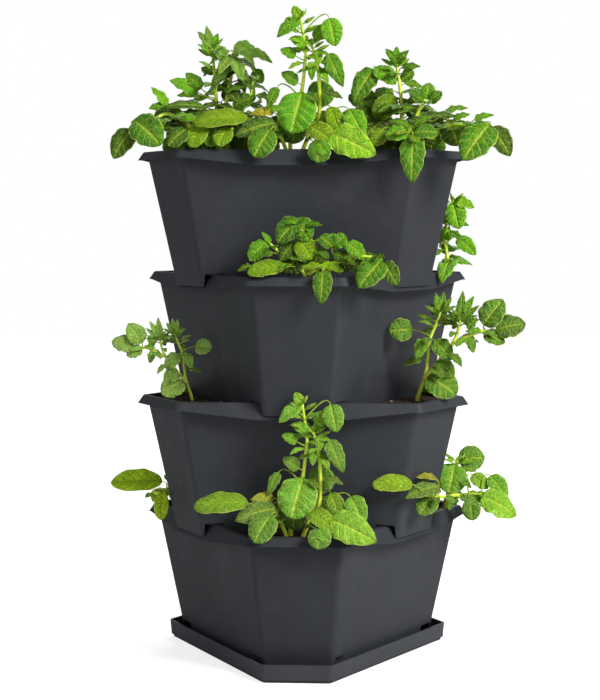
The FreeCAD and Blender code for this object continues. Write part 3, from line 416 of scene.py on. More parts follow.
LOW_STEMS = (
    ((2, -20, -2), (20, 20, 8), (46, 32, 16), (72, 26, 24)),
    ((-2, -20, 0), (-20, 20, 6), (-46, 32, 10), (-74, 28, 10)),
    ((0, -20, -4), (8, 20, -20), (22, 34, -42), (32, 30, -64)),
    ((-3, -20, 3), (-8, 20, 18), (-16, 30, 38), (-28, 26, 56)),
    ((1, -20, 1), (4, 24, 0), (8, 48, 2), (6, 68, 4)),
)
LOW_INNER = (
    ((0, 22, 22), (0, -6, 28), 36, 75, "deep"),
    ((-30, 22, 12), (-32, -6, 16), 34, 75, "deep"),
    ((30, 22, 12), (32, -6, 16), 34, 75, "deep"),
    ((0, 22, -20), (0, -6, -14), 36, 75, "deep"),
)

# The smaller leaves that spiral up the stems: number of the stem, the shares
# of its length where they start and end, how many there are, the length of the
# lowest in millimetres, how steeply it rises in degrees, and its tint.
TALL_SHOOTS = (
    (0, 0.18, 0.48, 4, 36, -40, "mid"),
    (0, 0.66, 0.88, 6, 21, -22, "light"),
    (0, 0.86, 1.00, 12, 19, 12, "light"),
    (1, 0.20, 0.56, 6, 34, -40, "deep"),
    (1, 0.70, 0.94, 7, 21, -25, "light"),
    (1, 0.90, 1.00, 9, 17, 15, "light"),
    (2, 0.55, 1.00, 5, 32, -35, "deep"),
)
BUSHY_SHOOTS = (
    (0, 0.22, 0.45, 7, 46, -30, "deep"),
    (0, 0.45, 0.93, 9, 32, -25, "mid"),
    (0, 0.86, 1.00, 11, 19, 20, "fresh"),
    (1, 0.30, 0.95, 10, 36, -30, "mid"),
    (2, 0.25, 0.60, 7, 42, -25, "deep"),
    (2, 0.55, 0.98, 7, 30, -25, "mid"),
    (3, 0.30, 1.00, 10, 37, -30, "deep"),
    (4, 0.40, 1.00, 8, 32, -35, "lime"),
)
SPREADING_SHOOTS = (
    (0, 0.20, 0.45, 8, 46, -30, "deep"),
    (0, 0.45, 0.90, 9, 34, -30, "mid"),
    (0, 0.86, 1.00, 11, 19, 20, "pale"),
    (1, 0.22, 0.55, 8, 42, -30, "deep"),
    (1, 0.50, 0.95, 10, 33, -35, "mid"),
    (2, 0.25, 0.60, 8, 42, -20, "deep"),
    (2, 0.55, 0.98, 8, 32, -25, "mid"),
    (3, 0.40, 1.00, 7, 34, -30, "lime"),
    (4, 0.30, 0.75, 9, 38, -35, "deep"),
    (4, 0.80, 1.00, 11, 40, -60, "pale"),
)
FRINGE_SHOOTS = (
    (0, 0.20, 0.92, 9, 30, -30, "mid"),
    (0, 0.95, 1.00, 5, 17, -5, "fresh"),
    (1, 0.30, 1.00, 10, 30, -28, "mid"),
    (2, 0.25, 1.00, 11, 29, -25, "deep"),
    (3, 0.45, 1.00, 6, 27, -30, "lime"),
)
LOW_SHOOTS = tuple((stem, 0.30, 1.00, 9, 38, -20, tint)
                   for stem, tint in enumerate(("deep", "mid", "deep", "mid", "fresh")))
POCKET_SHOOTS = (
    (0, 0.22, 0.75, 8, 30, -35, "mid"),
    (0, 0.78, 1.00, 13, 22, 10, "mid"),
    (1, 0.40, 0.80, 5, 27, -30, "mid"),
    (1, 0.80, 1.00, 13, 22, 10, "mid"),
    (2, 0.30, 0.90, 5, 24, -20, "fresh"),
)
TRAILING_SHOOTS = (
    (0, 0.40, 0.85, 6, 33, -35, "mid"),
    (0, 0.88, 1.00, 6, 20, 15, "light"),
    (1, 0.25, 0.95, 10, 30, -30, "mid"),
    (2, 0.25, 0.95, 6, 28, -25, "fresh"),
)
EDGE_SHOOTS = (
    (0, 0.40, 0.85, 5, 18, -35, "light"),
    (0, 0.90, 1.00, 5, 15, 15, "light"),
    (1, 0.30, 0.95, 6, 18, -30, "light"),
)
CLIMBING_SHOOTS = (
    (0, 0.28, 0.80, 7, 32, -35, "mid"),
    (0, 0.88, 1.00, 7, 20, 15, "light"),
    (1, 0.50, 1.00, 4, 28, -30, "fresh"),
)

KINDS = {
    "tall": (TALL_STEMS, TALL_LEAVES, TALL_INNER, TALL_SHOOTS),
    "bushy": (BUSHY_STEMS, BUSHY_LEAVES, BUSHY_INNER, BUSHY_SHOOTS),
    "spreading": (SPREADING_STEMS, SPREADING_LEAVES, SPREADING_INNER, SPREADING_SHOOTS),
    "fringe": (FRINGE_STEMS, FRINGE_LEAVES, FRINGE_INNER, FRINGE_SHOOTS),
    "low": (LOW_STEMS, (), LOW_INNER, LOW_SHOOTS),
    "pocket": (POCKET_STEMS, POCKET_LEAVES, (), POCKET_SHOOTS),
    "trailing": (TRAILING_STEMS, TRAILING_LEAVES, (), TRAILING_SHOOTS),
    "edge": (EDGE_STEMS, EDGE_LEAVES, (), EDGE_SHOOTS),
    "climbing": (CLIMBING_STEMS, CLIMBING_LEAVES, (), CLIMBING_SHOOTS),
}

# Each plant: name, body, kind, foot (x, y, z), turn about the vertical,
# forward lean, scale, 1 or -1 for as drawn or mirrored, and how much of the
# spiralling leaves' reach backwards is free, from 0 to 1.
PLANTS = (
    ("top_middle", "tier_4", "tall", (-11, -110, 603), 0, 12, 1.02, 1, 1.0),
    ("top_right", "tier_4", "bushy", (118, -100, 600), 0, 0, 1.0, 1, 1.0),
    ("top_left", "tier_4", "spreading", (-95, -100, 600), 0, 0, 1.0, 1, 1.0),
    ("top_rear_right", "tier_4", "low", (72, 22, 598), 20, 0, 1.0, 1, 1.0),
    ("top_rear_left", "tier_4", "low", (-66, 26, 598), 340, 0, 0.95, 1, 1.0),
    ("third_front", "tier_3", "fringe", (22, -157, 454), 0, 0, 1.0, 1, 0.4),
    ("third_right", "tier_3", "climbing", (173, 45, 451), 0, 0, 1.0, 1, 0.2),
    ("third_left", "tier_3", "pocket", (-138, 72, 451), 240, 0, 0.6, -1, 0.2),
    ("second_left", "tier_2", "pocket", (-128, -77, 309), 0, 0, 0.75, -1, 0.3),
    ("second_right", "tier_2", "pocket", (135, -77, 309), 0, 0, 1.0, 1, 0.3),
    ("second_rear", "tier_2", "tall", (0, 156, 309), 180, 0, 0.8, 1, 0.3),
    ("first_front", "tier_1", "tall", (-8, -155, 165), 0, 0, 1.0, 1, 0.3),
    ("first_right", "tier_1", "trailing", (170, 35, 166), 0, 0, 1.0, 1, 0.2),
    ("first_left", "tier_1", "edge", (-165, 40, 165), 0, 0, 1.0, 1, 0.2),
)


def V(x, y, z):
    """A point or a direction."""
    return Vector((x, y, z))


def in_place(spot, point):
    """A point of a plant table, in the tower's frame, in millimetres."""
    foot, turn, lean, scale, mirror = spot[3:8]
    right, up, out = point[0] * mirror * scale, point[1] * scale, point[2] * scale
    tilt, spin = math.radians(lean), math.radians(turn)
    up, out = up * math.cos(tilt) - out * math.sin(tilt), out * math.cos(tilt) + up * math.sin(tilt)
    return V(foot[0] + right * math.cos(spin) + out * math.sin(spin),
             foot[1] + right * math.sin(spin) - out * math.cos(spin),
             foot[2] + up)


def curve(start, pull, end, share):
    """A point on the bent line from start to end."""
    return start * (1 - share) ** 2 + pull * (2 * share * (1 - share)) + end * share ** 2


def smooth(points, steps):
    """More points along a stem, on a rounded line through the given ones."""
    line = []
    for k in range(len(points) - 1):
        before, start = points[max(k - 1, 0)], points[k]
        end, after = points[k + 1], points[min(k + 2, len(points) - 1)]
        for step in range(steps):
            t = step / steps
            line.append((start * 2 + (end - before) * t
                         + (before * 2 - start * 5 + end * 4 - after) * t ** 2
                         + (start * 3 - before - end * 3 + after) * t ** 3) * 0.5)
    return line + [points[-1]]


def stalk_start(lines, base):
    """Where a leaf's stalk leaves the stems: near, and a little below its blade."""
    def cost(point):
        gap = base - point
        level = math.hypot(gap.x, gap.z)
        return gap.length + 2 * max(0.0, STALK_DROP * level - gap.y)
    above_soil = [point for line in lines for point in line if point.y > LOWEST_STALK]
    return min(above_soil, key=cost)


def shoot_rows(lines, shoots, rear):
    """Table rows for the leaves that spiral up the stems."""
    rows = []
    for stem, low, high, count, length, pitch, tint in shoots:
        line = lines[stem]
        for k in range(count):
            share = k / (count - 1)
            point = line[round((low + (high - low) * share) * (len(line) - 1))]
            size = length * (1 - SHOOT_TAPER * share)
            turn = math.radians(SPIRAL * k + SHOOT_START * stem)
            rise = math.radians(pitch + SHOOT_RISE * share)
            right, out = math.cos(turn), math.sin(turn)
            out = out if out > 0 else out * rear
            away = V(right * math.cos(rise), math.sin(rise), out * math.cos(rise))
            base = point + away * (STALK_SHARE * size)
            tip = base + away * size
            if tip.y > LOWEST_TIP:
                width = size * (YOUNG_WIDTH if pitch > 0 else SHOOT_WIDTH)
                rows.append((tuple(base), tuple(tip), width, SHOOT_FACING, tint,
                             math.atan2(right, out + TO_LIGHT)))
    return rows


def leaf_frame(lines, row):
    """A leaf's stalk start, blade start, bend, tip, sideways and upward directions."""
    base, tip = V(*row[0]), V(*row[1])
    facing, turn = math.radians(row[3]), row[5] if len(row) > 5 else 0.0
    length = math.dist(row[0], row[1])
    along = (tip - base) * (1 / length)
    sky = V(math.sin(turn) * math.sin(facing), math.cos(facing), math.cos(turn) * math.sin(facing))
    normal = sky - along * sky.dot(along)
    normal = normal * (1 / math.dist(tuple(normal), (0, 0, 0)))
    bend = (base + tip) * 0.5 + normal * LEAF_BOW * length
    return stalk_start(lines, base), base, bend, tip, along.cross(normal), normal


def felt_points(spot, lines, row):
    """Points all over a leaf and its stalk, in the tower's frame."""
    start, base, bend, tip, side, _ = leaf_frame(lines, row)
    points = [start + (base - start) * share for share in FELT_STALK]
    for share, width in FELT_BLADE:
        centre = curve(base, bend, tip, share)
        points += [centre + side * (row[2] / 2 * width * across) for across in (-1, 0, 1)]
    return [tuple(in_place(spot, point)) for point in points]


def side_turn(tier, side):
    """The way a pot's side faces; each pot is half a turn from the one below."""
    return math.radians(-90 + 60 * side + 180 * (tier % 2))


def outside_by(point, tier):
    """How far a point is outside the pot of a tier, or the way that the pot is lifted off."""
    height = point[2] - POT_STANDS_AT - PITCH * tier
    if height < 0 or tier >= TIERS:
        return FAR
    reach = APRON_REACH if height > APRON_FROM else 0.0
    share = min(height / POT_HEIGHT, 1.0)
    gaps = []
    for k in range(6):
        base, rim = ((BASE_SHORT, RIM_SHORT), (BASE_LONG, RIM_LONG))[k % 2]
        turn = side_turn(tier, k)
        distance = point[0] * math.cos(turn) + point[1] * math.sin(turn)
        gaps.append(distance - base - (rim - base) * share - reach)
    return max(gaps)


def crowd_entry(name, points):
    """A plant's name with some of its points and a ball round them."""
    centre = tuple(sum(axis) / len(points) for axis in zip(*points))
    return name, centre, max(math.dist(centre, point) for point in points), points


def clear_of(entry, crowd):
    """Whether some points keep their distance from every other plant."""
    name, centre, radius, points = entry
    for other, other_centre, other_radius, other_points in crowd:
        if other == name or math.dist(centre, other_centre) > radius + other_radius + PLANT_GAP:
            continue
        for point in points:
            if any(math.dist(point, other_point) < PLANT_GAP for other_point in other_points):
                return False
    return True


def grow_leaves():
    """The leaf rows of every plant, without those that would meet a neighbour or a pot."""
    crowd, lines, rows = [], {}, {}
    for spot in PLANTS:
        stems, leaves = KINDS[spot[2]][:2]
        lines[spot[0]] = [smooth([V(*point) for point in line], LINE_STEPS) for line in stems]
        rows[spot[0]] = list(leaves)
        for line in lines[spot[0]]:
            crowd.append(crowd_entry(spot[0], [tuple(in_place(spot, point)) for point in line]))
        for row in leaves:
            crowd.append(crowd_entry(spot[0], felt_points(spot, lines[spot[0]], row)))
    for spot in PLANTS:
        inner, shoots = KINDS[spot[2]][2:]
        upper = round((spot[3][2] - POT_STANDS_AT) / PITCH)
        for row in list(inner) + shoot_rows(lines[spot[0]], shoots, spot[8]):
            entry = crowd_entry(spot[0], felt_points(spot, lines[spot[0]], row))
            if min(outside_by(point, upper) for point in entry[3]) < WALL_GAP:
                continue
            if clear_of(entry, crowd):
                rows[spot[0]].append(row)
                crowd.append(entry)
    return lines, rows


def grid_faces(first, rows, columns, closed):
    """Quads over a grid of points; closed joins the last column to the first."""
    faces = []
    for r in range(rows - 1):
        for c in range(columns if closed else columns - 1):
            a, b = first + r * columns + c, first + r * columns + (c + 1) % columns
            faces.append((a, b, b + columns, a + columns))
    return faces


def add_object(name, data):
    """A new object in the scene."""
    made = bpy.data.objects.new(name, data)
    bpy.context.scene.collection.objects.link(made)
    return made


class Builder:
    """Collects the points, faces, colours and leaf coordinates of one mesh."""

    def __init__(self, spot):
        self.spot = spot
        self.points, self.faces = [], []
        self.colours, self.coords = [], []

    def add(self, point, colour, coord=(0.0, 0.0, 0.0)):
        self.points.append(in_place(self.spot, point) * MM)
        self.colours.append((*colour, 1.0))
        self.coords.append(coord)

    def tube(self, line, radii, normal, colours, sides):
        """A closed tube along a line."""
        first = len(self.points)
        for k, centre in enumerate(line):
            along = (line[min(k + 1, len(line) - 1)] - line[max(k - 1, 0)]).normalized()
            normal = (normal - along * normal.dot(along)).normalized()
            side = along.cross(normal)
            for j in range(sides):
                turn = 2 * math.pi * j / sides
                offset = (side * math.cos(turn) + normal * math.sin(turn)) * radii[k]
                self.add(centre + offset, colours[k])
        last = len(self.points) - sides
        self.faces += grid_faces(first, len(line), sides, True)
        self.faces.append(tuple(reversed(range(first, first + sides))))
        self.faces.append(tuple(range(last, last + sides)))

    def finish(self, name, material, body, node):
        """Turns what was collected into a smooth-shaded piece for a CAD node."""
        mesh = bpy.data.meshes.new(name)
        faces = self.faces
        if self.spot[7] < 0:
            faces = [tuple(reversed(face)) for face in faces]
        mesh.from_pydata(self.points, [], faces)
        colour = mesh.attributes.new("tint", "FLOAT_COLOR", "POINT")
        colour.data.foreach_set("color", [c for row in self.colours for c in row])
        coords = mesh.attributes.new("leaf", "FLOAT_VECTOR", "POINT")
        coords.data.foreach_set("vector", [c for coord in self.coords for c in coord])
        mesh.validate()
        mesh.polygons.foreach_set("use_smooth", [True] * len(mesh.polygons))
        mesh.materials.append(material)
        piece = add_object(name, mesh)
        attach(piece, body)
        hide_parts(node)


def varied(colour, dice, spread):
    """A colour moved a little in brightness and towards yellow or blue."""
    bright = 1 + dice.uniform(-spread, spread)
    warm = dice.uniform(-spread, spread) * 0.6
    return (colour[0] * bright * (1 + warm), colour[1] * bright, colour[2] * bright * (1 - warm))


def mixed(first, second, share):
    """A colour between two others."""
    return [a + (b - a) * share for a, b in zip(first, second)]


def leaf_colour(plant, tint, soft, dice):
    """A leaf's tint, a little varied, paler for its plant, and scaled by its plant's painted light
    and shade.
    """
    pale, bright = PALENESS_AND_PAINTED_LIGHT.get(plant, (0.0, 1.0))
    pale *= 1 - SOFT_KEEPS * soft
    # bright here is painted light and shade for the whole plant.
    return [c * bright for c in mixed(varied(TINTS[tint], dice, LEAF_VARIES), PALE_COLOUR, pale)]


def add_stalk(mesh, start, base, bend, tip, normal, colour):
    """A leaf's stalk, which runs on under the blade as its midrib."""
    pull = base - (bend - base).normalized() * ((base - start).length / 2)
    line = [curve(start, pull, base, k / STALK_STEPS) for k in range(STALK_STEPS)]
    line += [curve(base, bend, tip, share) for share in MIDRIB_SHARES]
    line = [p for k, p in enumerate(line) if k == 0 or (p - line[k - 1]).length > SHORTEST_STEP]
    radii = [STALK_RADIUS * (1.15 - 0.75 * k / (len(line) - 1)) for k in range(len(line))]
    mesh.tube(line, radii, normal, [mixed(STALK_COLOUR, colour, 0.35)] * len(line), STALK_SIDES)


def blade_width(share, roundness):
    """Half the blade's width at a share of its length, 1 at the widest."""
    start, end = 0.44 + 0.06 * roundness, 0.86 - 0.36 * roundness
    widest = start / (start + end)
    peak = widest ** start * (1 - widest) ** end
    return share ** start * (1 - share) ** end / peak


def blade_offsets(width, roundness, soft, dice):
    """A rule for how far a place on a blade lies sideways, up and back from its centre line."""
    phase, ripple = dice.uniform(0, 6.28), dice.uniform(0.6, 1.5)
    twist, droop = dice.uniform(-0.16, 0.16), dice.uniform(0.05, 0.22)

    def offsets(share, across):
        half, reach = width / 2 * blade_width(share, roundness), abs(across)
        fold = FOLD * reach - FOLD_EASES * reach ** 2
        cell = abs(math.sin(math.pi * SIDE_VEINS * (share - VEIN_SLANT * reach)))
        quilt = cell * QUILT * (1 - 0.6 * soft) * (1 - reach ** 4) * min(reach * 5, 1)
        turn = 2 * math.pi * WAVES * share + phase + (across > 0) * 1.7
        wave = WAVE_HEIGHT * (1 - 0.4 * roundness) * reach ** 3 * math.sin(turn) * ripple
        curl = -droop * max(share - CURL_FROM, 0) / (1 - CURL_FROM) * (0.3 + reach)
        scallop = 1 + SCALLOP * (1 - 0.7 * roundness) * reach * math.cos(turn * 1.5)
        height = half * (fold + wave + curl + twist * across) + width * quilt
        sweep = (0.12 - 0.06 * roundness) * half * reach ** 2
        return half * across * scallop, height, sweep
    return offsets


def add_leaf(mesh, lines, row, dice):
    """One leaf: a bent stalk and a quilted, waved blade with two skins."""
    start, base, bend, tip, side, normal = leaf_frame(lines, row)
    soft = 1.0 if row[4] in SOFT_TINTS else 0.0
    colour = leaf_colour(mesh.spot[0], row[4], soft, dice)
    add_stalk(mesh, start, base, bend, tip, normal, colour)
    roundness = max(min((row[2] / (tip - base).length - 0.45) / 0.5, 1.0), soft, 0.0)
    offsets = blade_offsets(row[2], roundness, soft, dice)
    thickness = LEAF_THICKNESS / mesh.spot[6]
    below_colour = [c * 1.12 + 0.02 for c in colour]

    first = len(mesh.points)
    for under, shade in ((0, colour), (1, below_colour)):
        for i in range(BLADE_STEPS + 1):
            share = min(max(i / BLADE_STEPS, 0.004), 0.996)
            centre = curve(base, bend, tip, share)
            tangent = ((bend - base) * (1 - share) + (tip - bend) * share).normalized()
            up = (normal - tangent * normal.dot(tangent)).normalized()
            for j in range(-BLADE_HALVES, BLADE_HALVES + 1):
                across = j / BLADE_HALVES
                sideways, height, sweep = offsets(share, across)
                reach = abs(across)
                point = centre + side * sideways + up * height - tangent * sweep
                point -= up * thickness * (0.08 + 0.92 * (1 - reach ** 6)) * under
                mesh.add(point, shade, (share, 2.0 * under + reach, soft))

    columns, last = 2 * BLADE_HALVES + 1, BLADE_STEPS * (2 * BLADE_HALVES + 1)
    second = first + last + columns
    mesh.faces += grid_faces(first, BLADE_STEPS + 1, columns, False)
    mesh.faces += [face[::-1] for face in grid_faces(second, BLADE_STEPS + 1, columns, False)]
    around = [*range(0, last, columns), *range(last, last + columns - 1),
              *range(last + columns - 1, columns - 1, -columns), *range(columns - 1, -1, -1)]
    mesh.faces += [(first + a, first + b, second + b, second + a)
                   for a, b in zip(around, around[1:])]


def add_stem(mesh, points, dice):
    """One stem: a thinning tube with slightly swollen joints."""
    line = smooth([Vector(point) for point in points], STEM_JOINT)
    radii, colours = [], []
    for k in range(len(line)):
        share = k / (len(line) - 1)
        radius = STEM_FOOT_RADIUS + (STEM_TOP_RADIUS - STEM_FOOT_RADIUS) * share
        joint = 0.16 * max(0.0, math.cos(2 * math.pi * k / STEM_JOINT)) ** 6
        radii.append(radius * (0.9 + joint) * min(1.0, 1.0 / max(mesh.spot[6], 1.0)))
        colours.append(varied(mixed(STEM_COLOUR, TINTS["fresh"], 0.55 * share), dice, STEM_VARIES))
    mesh.tube(line, radii, V(0.3, 0.2, 1.0), colours, STEM_SIDES)


def plug(tree, value, socket):
    """Feeds a socket with a node's output, a number, a colour or a direction."""
    if isinstance(value, bpy.types.NodeSocket):
        tree.links.new(value, socket)
    elif isinstance(value, (int, float)):
        socket.default_value = value
    else:
        socket.default_value = (*value, 1.0)[:len(socket.default_value)]


def new_node(tree, kind, feeds=None, **settings):
    """A new shader node with its settings made and its inputs fed."""
    node = tree.nodes.new("ShaderNode" + kind)
    for name, value in settings.items():
        setattr(node, name, value)
    for place, value in (feeds or {}).items():
        plug(tree, value, node.inputs[place])
    return node


def mix_colour(tree, factor, first, second, mode="MIX"):
    """Two colours mixed; each of the three may be a socket or a value."""
    feeds = {0: factor, 6: first, 7: second}
    return new_node(tree, "Mix", feeds, data_type="RGBA", blend_type=mode).outputs[2]


def maths(tree, operation, first, second=0.0):
    """A calculation with sockets or numbers."""
    return new_node(tree, "Math", {0: first, 1: second}, operation=operation).outputs[0]


def times(tree, first, second):
    """The product of two sockets or numbers."""
    return maths(tree, "MULTIPLY", first, second)


def spread(tree, value, low, high, to_low, to_high):
    """A value mapped from one range to another, kept inside it."""
    feeds = {0: value, 1: low, 2: high, 3: to_low, 4: to_high}
    return new_node(tree, "MapRange", feeds).outputs[0]


def object_metres(tree):
    """A place in the object's own metres."""
    return new_node(tree, "TexCoord").outputs["Object"]


def noise_of(tree, scale, detail=3.0, rough=0.5, stretch=None):
    """Noise in the object's own metres."""
    place = object_metres(tree)
    if stretch:
        place = new_node(tree, "Mapping", {"Vector": place, "Scale": stretch}).outputs[0]
    feeds = {"Vector": place, "Scale": scale, "Detail": detail, "Roughness": rough}
    return new_node(tree, "TexNoise", feeds).outputs["Fac"]


def net_of(tree, scale):
    """Distance from the lines of an irregular net, in the object's own metres."""
    feeds = {"Vector": object_metres(tree), "Scale": scale}
    return new_node(tree, "TexVoronoi", feeds, feature="DISTANCE_TO_EDGE").outputs["Distance"]


def bump_of(tree, height, strength, distance, below=None):
    """The surface direction over a bump in metres, which may lie on another one."""
    feeds = {"Height": height, "Strength": strength, "Distance": distance}
    if below:
        feeds["Normal"] = below
    return new_node(tree, "Bump", feeds).outputs[0]


def material(name):
    """A new material with its node tree and its main shader."""
    made = bpy.data.materials.new(name)
    made.use_nodes = True
    return made, made.node_tree, made.node_tree.nodes["Principled BSDF"]


def feed(tree, shader, colour, rough, gloss, direction=None):
    """Feeds a main shader its colour, roughness, specular level and surface direction."""
    plug(tree, colour, shader.inputs["Base Color"])
    plug(tree, rough, shader.inputs["Roughness"])
    plug(tree, gloss, shader.inputs["Specular IOR Level"])
    if direction:
        plug(tree, direction, shader.inputs["Normal"])


def plastic(name, dark, light):
    """Matte moulded plastic: fine grain, faint flow marks and dust."""
    made, tree, shader = material(name)
    flow = noise_of(tree, 9.0, 4.0, 0.55, (1.0, 1.0, 0.35))
    grain = noise_of(tree, 1400.0, 2.0, 0.5)
    cloud = noise_of(tree, 38.0, 5.0, 0.6)
    colour = mix_colour(tree, spread(tree, flow, 0.3, 0.7, 0.0, 1.0), dark, light)
    colour = mix_colour(tree, spread(tree, cloud, 0.52, 0.78, 0.0, 0.07), colour, DUST_COLOUR)
    low = bump_of(tree, noise_of(tree, 60.0, 3.0, 0.5), 0.25, 0.0006)
    feed(tree, shader, colour, spread(tree, cloud, 0.3, 0.7, 0.50, 0.62), 0.32,
         bump_of(tree, grain, 0.35, 0.00008, low))
    return made


def leaf_material():
    """Leaf skin: veins drawn from the leaf's own coordinates over its tint."""
    made, tree, shader = material("leaf_skin")
    tint = new_node(tree, "Attribute", attribute_name="tint").outputs["Color"]
    place = new_node(tree, "Attribute", attribute_name="leaf").outputs["Vector"]
    along, skin, soft = new_node(tree, "SeparateXYZ", {0: place}).outputs
    under = maths(tree, "GREATER_THAN", skin, 1.5)
    reach = maths(tree, "SUBTRACT", skin, times(tree, under, 2.0))
    blotch = noise_of(tree, 260.0, 3.0, 0.6)
    fine = noise_of(tree, 1500.0, 2.0, 0.5)
    on_blade = spread(tree, along, 0.001, 0.003, 0.0, 1.0)

    # The midrib, the side veins and the fine net between them.
    midrib = spread(tree, reach, 0.02, 0.12, 1.0, 0.0)
    row = maths(tree, "SUBTRACT", along, times(tree, reach, VEIN_SLANT))
    row = maths(tree, "ADD", row, times(tree, maths(tree, "SUBTRACT", blotch, 0.5), 0.06))
    cell = maths(tree, "ABSOLUTE", maths(tree, "SINE", times(tree, row, math.pi * SIDE_VEINS)))
    ribs = times(tree, spread(tree, cell, 0.0, 0.34, 1.0, 0.0),
                 spread(tree, reach, 0.5, 1.0, 1.0, 0.25))
    veins = times(tree, maths(tree, "MAXIMUM", midrib, ribs), on_blade)
    net = net_of(tree, LEAF_NET)
    mesh_lines = spread(tree, net, 0.02, 0.16, 1.0, 0.0)
    pillow = spread(tree, net, 0.0, 0.42, 0.0, 1.0)
    quilted = spread(tree, soft, 0.0, 1.0, 1.0, SOFT_QUILTED)
    # Painted shade: how much the skin is darkened between the side veins, most in the middle of the
    # net's cells.
    quilt_painted_shade = times(tree, times(tree, spread(tree, pillow, 0.0, 1.0, 0.45, 1.0),
                               spread(tree, cell, 0.10, 0.85, 0.15, 1.0)), quilted)

    # The skin between the veins: blotched, mottled, paler towards the midrib by a painted light, and
    # darker between the side veins by a painted shade.
    flesh = mix_colour(tree, spread(tree, blotch, 0.30, 0.72, 0.0, 0.5), tint, BLOTCH_COLOUR,
                       "SOFT_LIGHT")
    mottle = spread(tree, noise_of(tree, 80.0, 2.0, 0.5), 0.36, 0.64, 0.0, 0.50)
    flesh = mix_colour(tree, mottle, flesh, MOTTLE_SHADE, "MULTIPLY")
    midrib_painted_light = times(tree, spread(tree, reach, 0.0, 0.7, 0.30, 0.0), on_blade)
    flesh = mix_colour(tree, midrib_painted_light, flesh, MIDRIB_PAINTED_LIGHT)
    # Darken the skin there with the painted shade.
    flesh = mix_colour(tree, quilt_painted_shade, flesh, mix_colour(tree, 1.0, flesh, QUILT_PAINTED_SHADE, "MULTIPLY"))

    # The veins, the rim, paler partly as the leaf's own margin and partly as a painted highlight, and
    # the paler underside.
    lines = maths(tree, "MAXIMUM", times(tree, veins, 0.80), times(tree, mesh_lines, 0.12))
    lines = times(tree, lines, spread(tree, quilted, SOFT_QUILTED, 1.0, 0.40, 1.0))
    colour = mix_colour(tree, lines, flesh, mix_colour(tree, 0.68, tint, VEIN_COLOUR))
    rim = times(tree, spread(tree, reach, 0.88, 1.0, 0.0, 0.65), on_blade)
    colour = mix_colour(tree, rim, colour, PALE_MARGIN_AND_HIGHLIGHT)
    colour = mix_colour(tree, times(tree, under, 0.40), colour, UNDER_COLOUR)
    rough = maths(tree, "ADD", spread(tree, fine, 0.3, 0.7, 0.33, 0.47), times(tree, under, 0.2))
    height = maths(tree, "SUBTRACT", times(tree, pillow, 0.6), times(tree, veins, 0.8))
    feed(tree, shader, colour, rough, 0.34,
         bump_of(tree, fine, 0.25, 0.0001, bump_of(tree, height, 1.0, 0.0016)))

    glow = new_node(tree, "BsdfTranslucent", {"Color": mix_colour(tree, 0.5, colour, GLOW_COLOUR)})
    both = new_node(tree, "MixShader", {0: GLOW_SHARE, 1: shader.outputs[0], 2: glow.outputs[0]})
    plug(tree, both.outputs[0], tree.nodes["Material Output"].inputs["Surface"])
    return made


def stem_material():
    """Fresh stem: lengthwise streaks over its own tint."""
    made, tree, shader = material("stem_skin")
    streak = noise_of(tree, 900.0, 3.0, 0.5, (1.0, 1.0, 0.08))
    blotch = noise_of(tree, 140.0, 3.0, 0.5)
    tint = new_node(tree, "Attribute", attribute_name="tint").outputs["Color"]
    colour = mix_colour(tree, spread(tree, blotch, 0.4, 0.7, 0.0, 0.45), tint, STEM_BLOTCH)
    colour = mix_colour(tree, spread(tree, streak, 0.35, 0.7, 0.0, 0.5), colour, STEM_STREAK)
    feed(tree, shader, colour, spread(tree, streak, 0.3, 0.7, 0.38, 0.55), 0.5,
         bump_of(tree, streak, 0.4, 0.0002))
    plug(tree, 0.15, shader.inputs["Subsurface Weight"])
    plug(tree, (0.002, 0.003, 0.001), shader.inputs["Subsurface Radius"])
    plug(tree, 1.0, shader.inputs["Subsurface Scale"])
    return made


def soil_material():
    """Moist peat and bark: dark crumbs with paler fibres."""
    made, tree, shader = material("moist_mix")
    clump = noise_of(tree, 160.0, 6.0, 0.65)
    fibre = noise_of(tree, 700.0, 4.0, 0.7)
    colour = mix_colour(tree, spread(tree, clump, 0.35, 0.7, 0.0, 1.0), *PEAT_COLOURS)
    colour = mix_colour(tree, spread(tree, fibre, 0.60, 0.75, 0.0, 0.8), colour, FIBRE_COLOUR)
    feed(tree, shader, colour, spread(tree, clump, 0.3, 0.7, 0.72, 0.95), 0.25,
         bump_of(tree, fibre, 0.9, 0.0012))
    return made


def grain_material():
    """Pale mineral grains in the mix."""
    made, tree, shader = material("mineral_grain")
    pores = noise_of(tree, 1200.0, 4.0, 0.6)
    colour = mix_colour(tree, spread(tree, pores, 0.35, 0.65, 0.0, 1.0), *GRAIN_COLOURS)
    feed(tree, shader, colour, 0.9, 0.5, bump_of(tree, pores, 0.6, 0.0004))
    return made


def side_distance(z, base, rim):
    """How far a pot's outside is from the axis at height z above its base."""
    return base + (rim - base) * z / POT_HEIGHT


def soil_height(x, y, seed):
    """The lumpy surface of the mix above its level, in millimetres."""
    broad = noise.noise(V(x * 0.05, y * 0.05, seed))
    lumps = noise.noise(V(x * 0.22, y * 0.22, seed + 9.0))
    crumbs = noise.noise(V(x * 0.7, y * 0.7, seed + 21.0))
    return 1.6 + 1.2 * broad + 1.1 * lumps + 0.6 * crumbs


GOLDEN = (1 + math.sqrt(5)) / 2
LUMP_CORNERS = [V(*corner).normalized() for low in (-1, 1) for high in (-GOLDEN, GOLDEN)
                for corner in ((0, low, high), (low, high, 0), (high, 0, low))]


def lump_faces():
    """The triangles between neighbouring corners of a lump, turned outward."""
    faces = []
    for order in itertools.combinations(range(len(LUMP_CORNERS)), 3):
        a, b, c = (LUMP_CORNERS[k] for k in order)
        if max((a - b).length, (b - c).length, (a - c).length) < LUMP_EDGE:
            outward = (b - a).cross(c - a).dot(a) > 0
            faces.append(order if outward else (order[0], order[2], order[1]))
    return faces


LUMP_FACES = lump_faces()


